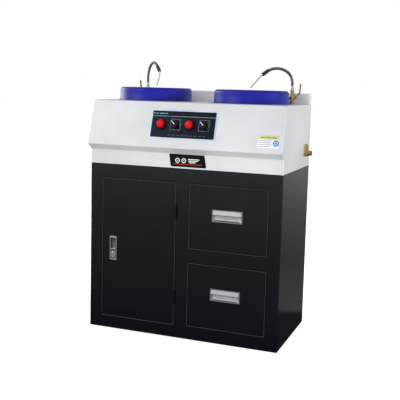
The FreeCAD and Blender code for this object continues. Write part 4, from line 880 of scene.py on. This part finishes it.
def pointer_knob(name):
    """A skirted knob with a waisted grip and a white pointer let into its leading end."""
    low, skirt_r, top = 4.0, 16.5, 22.5
    place = on_slant(KNOB_X[name], CONTROL_UP, spin=45)
    skirt = [(0, low), (skirt_r, low), (skirt_r, low + 3.4), (skirt_r - 2.0, low + 6.8), (0, low + 7.2)]
    form = Form().lathe(skirt, [0, 0.5, 1.0, 1.4, 0], place, 72, curve=4)
    mid = top - 6.0
    levels = [(low + 4.5, 1.10), (mid - 5, 1.0), (mid + 3, 0.98), (top - 0.9, 0.93), (top, 0.78)]
    corners = [(-5.6, -15.5), (5.6, -15.5), (4.0, 0), (4.2, 13.5), (0.9, 20.6), (-0.9, 20.6), (-4.2, 13.5),
               (-4.0, 0)]
    outline = softened(corners, [3.6, 3.6, 9, 4, 0.9, 0.9, 4, 9], 5)
    form.add(stacked([([(x * share, y * (0.985 if share < 1 else 1.0)) for x, y in outline], z)
                      for z, share in levels]), place)
    form.add(extruded(centred(0, 5.8, 2.8, 19.0, 1.2, 4), top - 0.3, top + 0.25), place, ink=1)
    end = [([(-0.9, 20.0 + d), (0.9, 20.0 + d), (0.9, 19.2 + d), (-0.9, 19.2 + d)], z)
           for z, d in ((low + 10, 0.6), (top - 0.6, 0.5))]
    form.add(stacked(end), place, ink=1)
    form.lathe([(0, -26), (2.95, -26), (2.95, low + 1), (0, low + 1)], 0.1, place, 24, 2, 2)
    piece("pointer_knob_" + name, form, ["black", "pointer", "steel"], name + "_knob",
          ["selector_knob_" + name], 0.3, 38)


def stroke(form, points, width, place):
    """A flat printed line through the points, mitred at its corners."""
    points = [Vector(p) for p in points]
    last = len(points) - 1
    left, right = [], []
    for i, here in enumerate(points):
        heading = (points[min(i + 1, last)] - points[max(i - 1, 0)]).normalized()
        across = Vector((-heading.y, heading.x)) * (width / 2)
        left.append(tuple(here + across))
        right.append(tuple(here - across))
    for i in range(last):
        form.add(extruded([left[i], left[i + 1], right[i + 1], right[i]], 0.0, PRINT_T), place)


def digit(form, number, x, y, size, place):
    """Plain dial figures 0, 1 and 2."""
    w, h = size * 0.30, size * 0.5
    shapes = {
        0: [(w * sin(radians(a)), h * cos(radians(a))) for a in range(0, 361, 30)],
        1: [(-w * 0.5, h * 0.55), (w * 0.15, h), (w * 0.15, -h)],
        2: [(-w, h * 0.5), (-w * 0.5, h * 0.95), (w * 0.5, h * 0.95), (w, h * 0.45), (w * 0.6, -h * 0.1),
            (-w, -h), (w, -h)],
    }
    stroke(form, [(x + px, y + py) for px, py in shapes[number]], size * 0.15, place)


def switch_dials():
    """Outline, scale and figures printed on each switch plate."""
    top, half, scale_r = PANEL_T + 2.0, SWITCH_PLATE / 2, 18.2
    form = Form()
    for x in KNOB_X.values():
        place = on_slant(x, CONTROL_UP, top)
        outer = centred(0, 0, SWITCH_PLATE - 1.2, SWITCH_PLATE - 1.2, 2.6, 4)
        inner = centred(0, 0, SWITCH_PLATE - 3.0, SWITCH_PLATE - 3.0, 1.8, 4)
        form.add(framed(outer, inner, 0.0, PRINT_T), place)
        for number, angle in ((0, 45), (1, 0), (2, -45)):
            turn = radians(angle)
            away = Vector((-sin(turn), cos(turn)))
            reach = half - 4.0 if angle == 0 else half - 0.6
            spot = away * (reach + 1.2 if angle else reach)
            digit(form, number, spot.x, spot.y, 3.6, place)
            if angle:
                stroke(form, [away * 17.6, away * 20.0], 0.7, place)
        turns = [radians(a) for a in range(-130, -49, 8)]
        stroke(form, [(-scale_r * sin(t), scale_r * cos(t)) for t in turns], 0.6, place)
    piece("switch_dials", form, ["panel_line"], "cabinet")


def plate_edges():
    """Bevelled frames that finish the edge of each switch plate."""
    steps = ((1.6, 3.4, PANEL_T), (1.6, 3.4, 2.4), (0.2, 3.0, 3.8), (-0.8, 2.6, 3.8), (-0.8, 2.6, PANEL_T))
    levels = [(centred(0, 0, SWITCH_PLATE + grow, SWITCH_PLATE + grow, r, 4), z) for grow, r, z in steps]
    form = Form()
    for x in KNOB_X.values():
        form.add(stacked(levels, wrap=True), on_slant(x, CONTROL_UP))
    piece("switch_plate_edges", form, ["black"], "cabinet", sharp=25)


def panel_print():
    """Pale frame, dark header, dividing line and plain bars in place of any wording."""
    x0, x1, up0, up1 = PANEL
    place = on_slant(out=PANEL_T)
    rim, frame_w, line_up = 2.2, 3.6, 125.5

    def inset(d, radius):
        return rectangle(x0 + d, x1 - d, up0 + d, up1 - d, radius, 4)

    form = Form().add(framed(inset(-rim, 1.5), inset(frame_w, 1.0), 0.0, 0.35), place)
    form.add(framed(inset(-rim, 1.5), inset(0.2, 1.0), 0.1 - PANEL_T, 0.1), place)
    left, right = x0 + frame_w, x1 - frame_w
    form.bar(left, right, line_up + 0.8, up1 - frame_w, 0.10, place, 1)
    form.bar(left, right, line_up - 0.8, line_up + 0.8, 0.20, place, 2)
    for start, end in ((-129.0, -119.0), (-116.0, -109.0), (-104.0, -84.0), (-81.0, -70.0)):
        form.bar(start, end, 134.2, 137.8, 0.22, place, 4, 0.8)
    for number in range(9):
        start = -60.0 + number * 18.0
        form.bar(start, start + 12.0, 49.0, 52.5, 0.12, place, 3, 0.6)
    inks = ["panel_pale", "panel_header", "panel_line", "panel_dim", "panel_teal"]
    piece("panel_print", form, inks, "cabinet")


def badge_print():
    """A generic sign for two wheels, a stripe and three bars on the blank name plate."""
    proud, height = 1.6, 0.4
    place = on_front(0, 708.5, FRONT_Y - proud)
    form = Form()
    for x in (-22.0, 4.0):
        spot = place @ Matrix.Translation((x, 0, 0))
        form.add(framed(circle(9.5, 48), circle(6.6, 48), 0.0, height), spot)
        form.add(extruded(circle(2.2, 24), 0.0, height), spot)
    form.add(extruded([(-38, -15.5), (78, -15.5), (77, -12.5), (-39, -12.5)], 0.0, 0.3), place, ink=1)
    for up, length in ((6.0, 46.0), (0.0, 38.0), (-6.0, 28.0)):
        slant = -up * 0.18
        bar = [(24 + slant, up - 1.6), (24 + slant + length, up - 1.6), (23.4 + slant + length, up + 1.6),
               (23.4 + slant, up + 1.6)]
        form.add(extruded(bar, 0.0, height), place)
    piece("badge_print", form, ["pointer", "badge_red"], "cabinet", bevel=0.1)


def label_print():
    """Lime heading, grey rules and a blue spot, with no wording."""
    x0, x1, up0, up1 = LABEL
    place = on_slant(out=0.4)
    form = Form().bar(x0 + 2.5, x1 - 2.5, up1 - 16.5, up1 - 2.5, 0.1, place, 0, 1.0)
    for start, end in ((313.0, 331.0), (334.0, 352.0), (355.0, 374.0)):
        form.bar(start, end, up1 - 12.5, up1 - 6.5, 0.18, place, 1, 0.6)
    for number, end in enumerate((355.0, 352.0, 356.0, 350.0)):
        up = up1 - 22.0 - number * 7.2
        form.bar(x0 + 5, end, up - 1.1, up + 1.1, 0.1, place, 1, 0.5)
    outer = rectangle(x0 + 1.2, x1 - 1.2, up0 + 1.2, up1 - 1.2, 1.6)
    inner = rectangle(x0 + 2.0, x1 - 2.0, up0 + 2.0, up1 - 2.0, 1.0)
    form.add(framed(outer, inner, 0.0, 0.1), place, ink=1)
    spot = place @ Matrix.Translation((372.5, 39.5, 0))
    form.add(extruded(circle(12.0, 48), 0.0, 0.12), spot, ink=2)
    form.add(framed(circle(7.0, 48), circle(5.2, 48), 0.12, 0.2), spot, ink=3)
    piece("label_print", form, ["paper_lime", "paper_grey", "paper_blue", "paper"], "cabinet")


# ---------------- pulls and door plate
def drawer_pull(name):
    """A rimmed, dished cup with a rolled finger grip across its upper half."""
    place = on_front(*PULL_CENTRES[name])
    levels = [(107, 31, -13.0, 3, 0), (115, 40, -1.0, 4, 0)]
    levels += [(PULL_W - less, PULL_H - less, out, r, lean) for less, out, r, lean in
               ((0, 0.0, 3, 0), (0, 1.0, 3, 0), (1.2, 1.8, 2.6, 0), (6.4, 1.8, 2.2, 0), (8, 1.0, 2.0, 0),
                (10, -2.0, 3, 0.05))]
    levels += [(109, 34, -5.4, 5, 0.10), (104, 29, -7.6, 5, 0.16), (96, 22, -8.4, 4, 0.20)]
    rings = [[(px, py, out - lean * py) for px, py in centred(0, 0, w, h, r, 5)]
             for w, h, out, r, lean in levels]
    form = Form().add(joined(rings), place)
    half = PULL_W / 2 - 4.2
    corners = [(21.6, 0.6), (21.0, 1.6), (12.0, 3.1), (4.6, 4.6), (2.2, 3.6), (1.8, 0.0), (3.0, -0.2),
               (4.2, 2.6), (12.0, 1.8), (19.6, 0.4)]
    curl = softened(corners, [0.3, 0.8, 5, 1.6, 1.0, 0.5, 0.5, 1.0, 4, 0.3], 4)
    cheek = softened([(20.5, 3.0), (1.5, 3.0), (1.5, -5.0), (20.5, -5.0)], 1.2, 3)

    def along(outline, places):
        return joined([[(px, up, out) for up, out in outline] for px in places])

    form.add(along(curl, (-half, -half * 0.33, half * 0.33, half)), place, ink=1)
    for end in (-1, 1):
        form.add(along(cheek, (end * half, end * (half - 2.0))), place)
    piece("flush_pull_" + name, form, ["satin", "grip_bar"], name + "_drawer",
          [name + "_drawer_pull"], 0.25, 30)


def door_plate_trim():
    """Raised beads round the flush plate and its finger cup, a dark sheet lining the cup as painted shade,
    and the lock's escutcheon.
    """
    place = on_front(LOCK_X, 0)
    cup_z = PLATE_Z + 20
    form = Form()
    for middle, w, h, radius, bead in ((PLATE_Z, 30.6, 95.6, 2.4, 1.8), (cup_z, 24.6, 48.6, 2.0, 1.3)):
        steps = ((0, 1.3), (0, 1.9), (-0.5, 2.2), (-bead + 0.5, 2.2), (-bead, 1.9), (-bead, 1.3))
        levels = [(centred(0, middle, w + 2 * grow, h + 2 * grow, max(0.3, radius + grow), 5), out)
                  for grow, out in steps]
        form.add(stacked(levels, wrap=True), place)
    escutcheon = [(8.2, 1.2), (11.4, 1.2), (11.0, 2.2), (9.2, 2.9), (8.2, 2.4)]
    form.lathe(escutcheon, 0.3, on_front(LOCK_X, LOCK_Z), ring=True)
    # A darker chrome sheet laid in the cup: painted shade in the recess.
    cup_shade_lining = ((17, 41, -9.9, 3), (21.8, 45.8, -8.6, 4), (21.8, 45.8, 1.2, 4), (20.8, 44.8, 1.2, 3.6),
             (20.4, 44.4, -7.8, 3.4), (16, 40, -9.2, 2.5))
    form.add(stacked([(centred(0, cup_z, w, h, r, 5), out) for w, h, out, r in cup_shade_lining]), place, ink=1)
    piece("door_plate_trim", form, ["grip_bar", "shaded"], "door", sharp=40)


def folded_edges():
    """Rounded folds round the door and the drawer fronts, in a paler paint than the flat faces: a painted
    highlight along the edges.
    """
    steps = ((0.0, -0.6), (0.0, 0.3), (0.35, 0.8), (1.0, 1.0), (1.6, 0.8), (2.0, 0.3), (2.0, -0.6))
    fronts = {"door": "door_panel", "upper_drawer": "upper_drawer_front",
              "lower_drawer": "lower_drawer_front"}
    for body, node in fronts.items():
        (x0, _, z0), (x1, _, z1) = [[c / MM for c in corner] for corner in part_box(node)]
        levels = [(rectangle(x0 + inset, x1 - inset, z0 + inset, z1 - inset, 2.4 - inset, 4), out)
                  for inset, out in steps]
        form = Form().add(stacked(levels, wrap=True), on_front(0, 0))
        piece("folded_edge_" + body, form, ["folded_edge_highlight"], body, sharp=60)


for side_name, side_sign in SIDES:
    splash_ring(side_name, side_sign)
    cloth(side_name, side_sign)
    drain_strainer(side_name, side_sign)
    gooseneck(side_name, side_sign)
    nozzle(side_name, side_sign)
    tap_lever(side_name, side_sign)
    mushroom_button(side_name)
    pointer_knob(side_name)
for make in (water_valves, wall_elbow, back_screws, gland, drain_barbs, vent_hoods, bezels, plate_edges,
             switch_dials, panel_print, badge_print, label_print, folded_edges):
    make()
drawer_pull("upper")
drawer_pull("lower")
door_plate_trim()


# ---------------- studio
def look_from_the_front_right():
    """The camera, in metres and degrees; it looks a little down and is rolled slightly."""
    azimuth, elevation, roll = radians(20.53), radians(6.66), radians(1.51)
    target, distance = Vector((0.006, 0.0, 0.643)), 3.044
    level = cos(elevation)
    back = Vector((sin(azimuth) * level, -cos(azimuth) * level, sin(elevation)))
    right = Vector((cos(azimuth), sin(azimuth), 0.0))
    up = back.cross(right)
    tilted_right = right * cos(roll) + up * sin(roll)
    tilted_up = up * cos(roll) - right * sin(roll)
    camera = placed("camera", bpy.data.cameras.new("camera"))
    rotation = Matrix((tilted_right, tilted_up, back)).transposed()
    camera.matrix_world = Matrix.Translation(target + back * distance) @ rotation.to_4x4()
    camera.data.sensor_width = 36.0
    camera.data.lens = 66.2
    camera.data.shift_x = -0.0084
    camera.data.shift_y = -0.0697
    bpy.context.scene.camera = camera


def softbox(name, place, aim, width, height, watts, mirrored=False):
    """An area lamp; unless mirrored is set, it lights the object but doesn't show in its gloss."""
    light = bpy.data.lights.new(name, "AREA")
    light.shape = "RECTANGLE"
    light.size, light.size_y = width, height
    light.energy = watts
    lamp = placed(name, light)
    lamp.location = place
    lamp.rotation_euler = (Vector(aim) - Vector(place)).to_track_quat("-Z", "Y").to_euler()
    lamp.visible_glossy = mirrored
    lamp.visible_camera = False


def white_room():
    """The room is plain white to look at, and a softer graded white as a source of light."""
    world = bpy.data.worlds.new("studio")
    world.use_nodes = True
    w = Nodes(world.node_tree, "Generated")
    background = w.tree.nodes["Background"].inputs
    level = w.spread(w.split()["Z"], -0.1, 0.9, ROOM_LOW, ROOM_HIGH)
    w.join(w.made("Mix", {0: w.seen(), 2: level, 3: 1.0}), background["Strength"])
    background["Color"].default_value = (1.0, 1.0, 1.0, 1.0)
    bpy.context.scene.world = world


def graded(g, value, stops):
    """A grey level that runs through the stops, given as (metres, level) pairs."""
    near, far = stops[0][0], stops[-1][0]
    ramp = g.add("ValToRGB")
    g.join(g.spread(value, near, far), ramp.inputs["Fac"])
    for metres, _ in stops[1:-1]:
        ramp.color_ramp.elements.new((metres - near) / (far - near))
    for element, (_, level) in zip(ramp.color_ramp.elements, stops):
        element.color = (level, level, level, 1.0)
    return ramp.outputs["Color"]


def studio_floor():
    """Pale floor with soft shadows; in the object's gloss it is dark close by and pale further off."""
    mesh = bpy.data.meshes.new("floor")
    reach, drop = 30.0, 0.0005
    corners = [(-reach, -reach, 0), (reach, -reach, 0), (reach, reach, 0), (-reach, reach, 0)]
    mesh.from_pydata(corners, [], [(0, 1, 2, 3)])
    floor = placed("floor", mesh)
    floor.location.z = -drop
    white = (1.0, 1.0, 1.0, 1.0)
    g = Graph("studio_floor", roughness=0.9, Emission_Color=white, Emission_Strength=FLOOR_GLOW)
    g.color(g.blend(g.noise(1.5, 2.0), (0.80, 0.80, 0.80), (0.83, 0.83, 0.83)))
    split = g.split()
    beside = g.maths("MULTIPLY", g.maths("ABSOLUTE", split["X"]), CARD_SKEW)
    behind = graded(g, g.maths("ADD", split["Y"], beside), BEHIND_IN_GLOSS)
    ahead = graded(g, g.maths("MULTIPLY", split["Y"], -1.0), AHEAD_IN_GLOSS)
    glow = g.made("Emission", {"Color": g.maths("MAXIMUM", behind, ahead)})
    g.join(g.made("MixShader", {0: g.seen(), 1: glow, 2: g.shader.outputs["BSDF"]}), g.output)
    mesh.materials.append(g.material)


# Levels of the room and the floor; the floor's stops are (metres from the middle, level in the gloss).
ROOM_LOW, ROOM_HIGH = 0.64, 0.42
FLOOR_GLOW = 0.62
CARD_SKEW = 0.37
BEHIND_IN_GLOSS = ((0.0, 0.02), (0.495, 0.025), (0.515, 0.135), (1.6, 0.10), (3.5, 0.20), (6.0, 0.36),
                   (10.0, 0.5))
AHEAD_IN_GLOSS = ((0.15, 0.02), (0.6, 0.10), (1.5, 0.17), (3.5, 0.30), (6.5, 0.55), (10.0, 0.6))

bpy.context.scene.view_settings.view_transform = "Standard"
look_from_the_front_right()
white_room()
studio_floor()
softbox("key", (-2.4, -2.6, 2.6), (0.0, 0.0, 0.7), 2.0, 2.0, 29.0, mirrored=True)
softbox("fill_low", (0.2, -2.2, 0.25), (0.0, -0.2, 0.7), 2.4, 0.5, 31.0)
softbox("side", (3.0, -0.2, 1.0), (0.4, 0.0, 0.7), 1.6, 1.6, 46.0)
softbox("rear", (-0.5, 2.8, 2.2), (0.0, 0.0, 0.8), 2.6, 1.6, 30.0)
softbox("left_rear", (-3.0, 1.0, 1.2), (0.0, 0.0, 0.9), 2.0, 2.0, 45.0, mirrored=True)
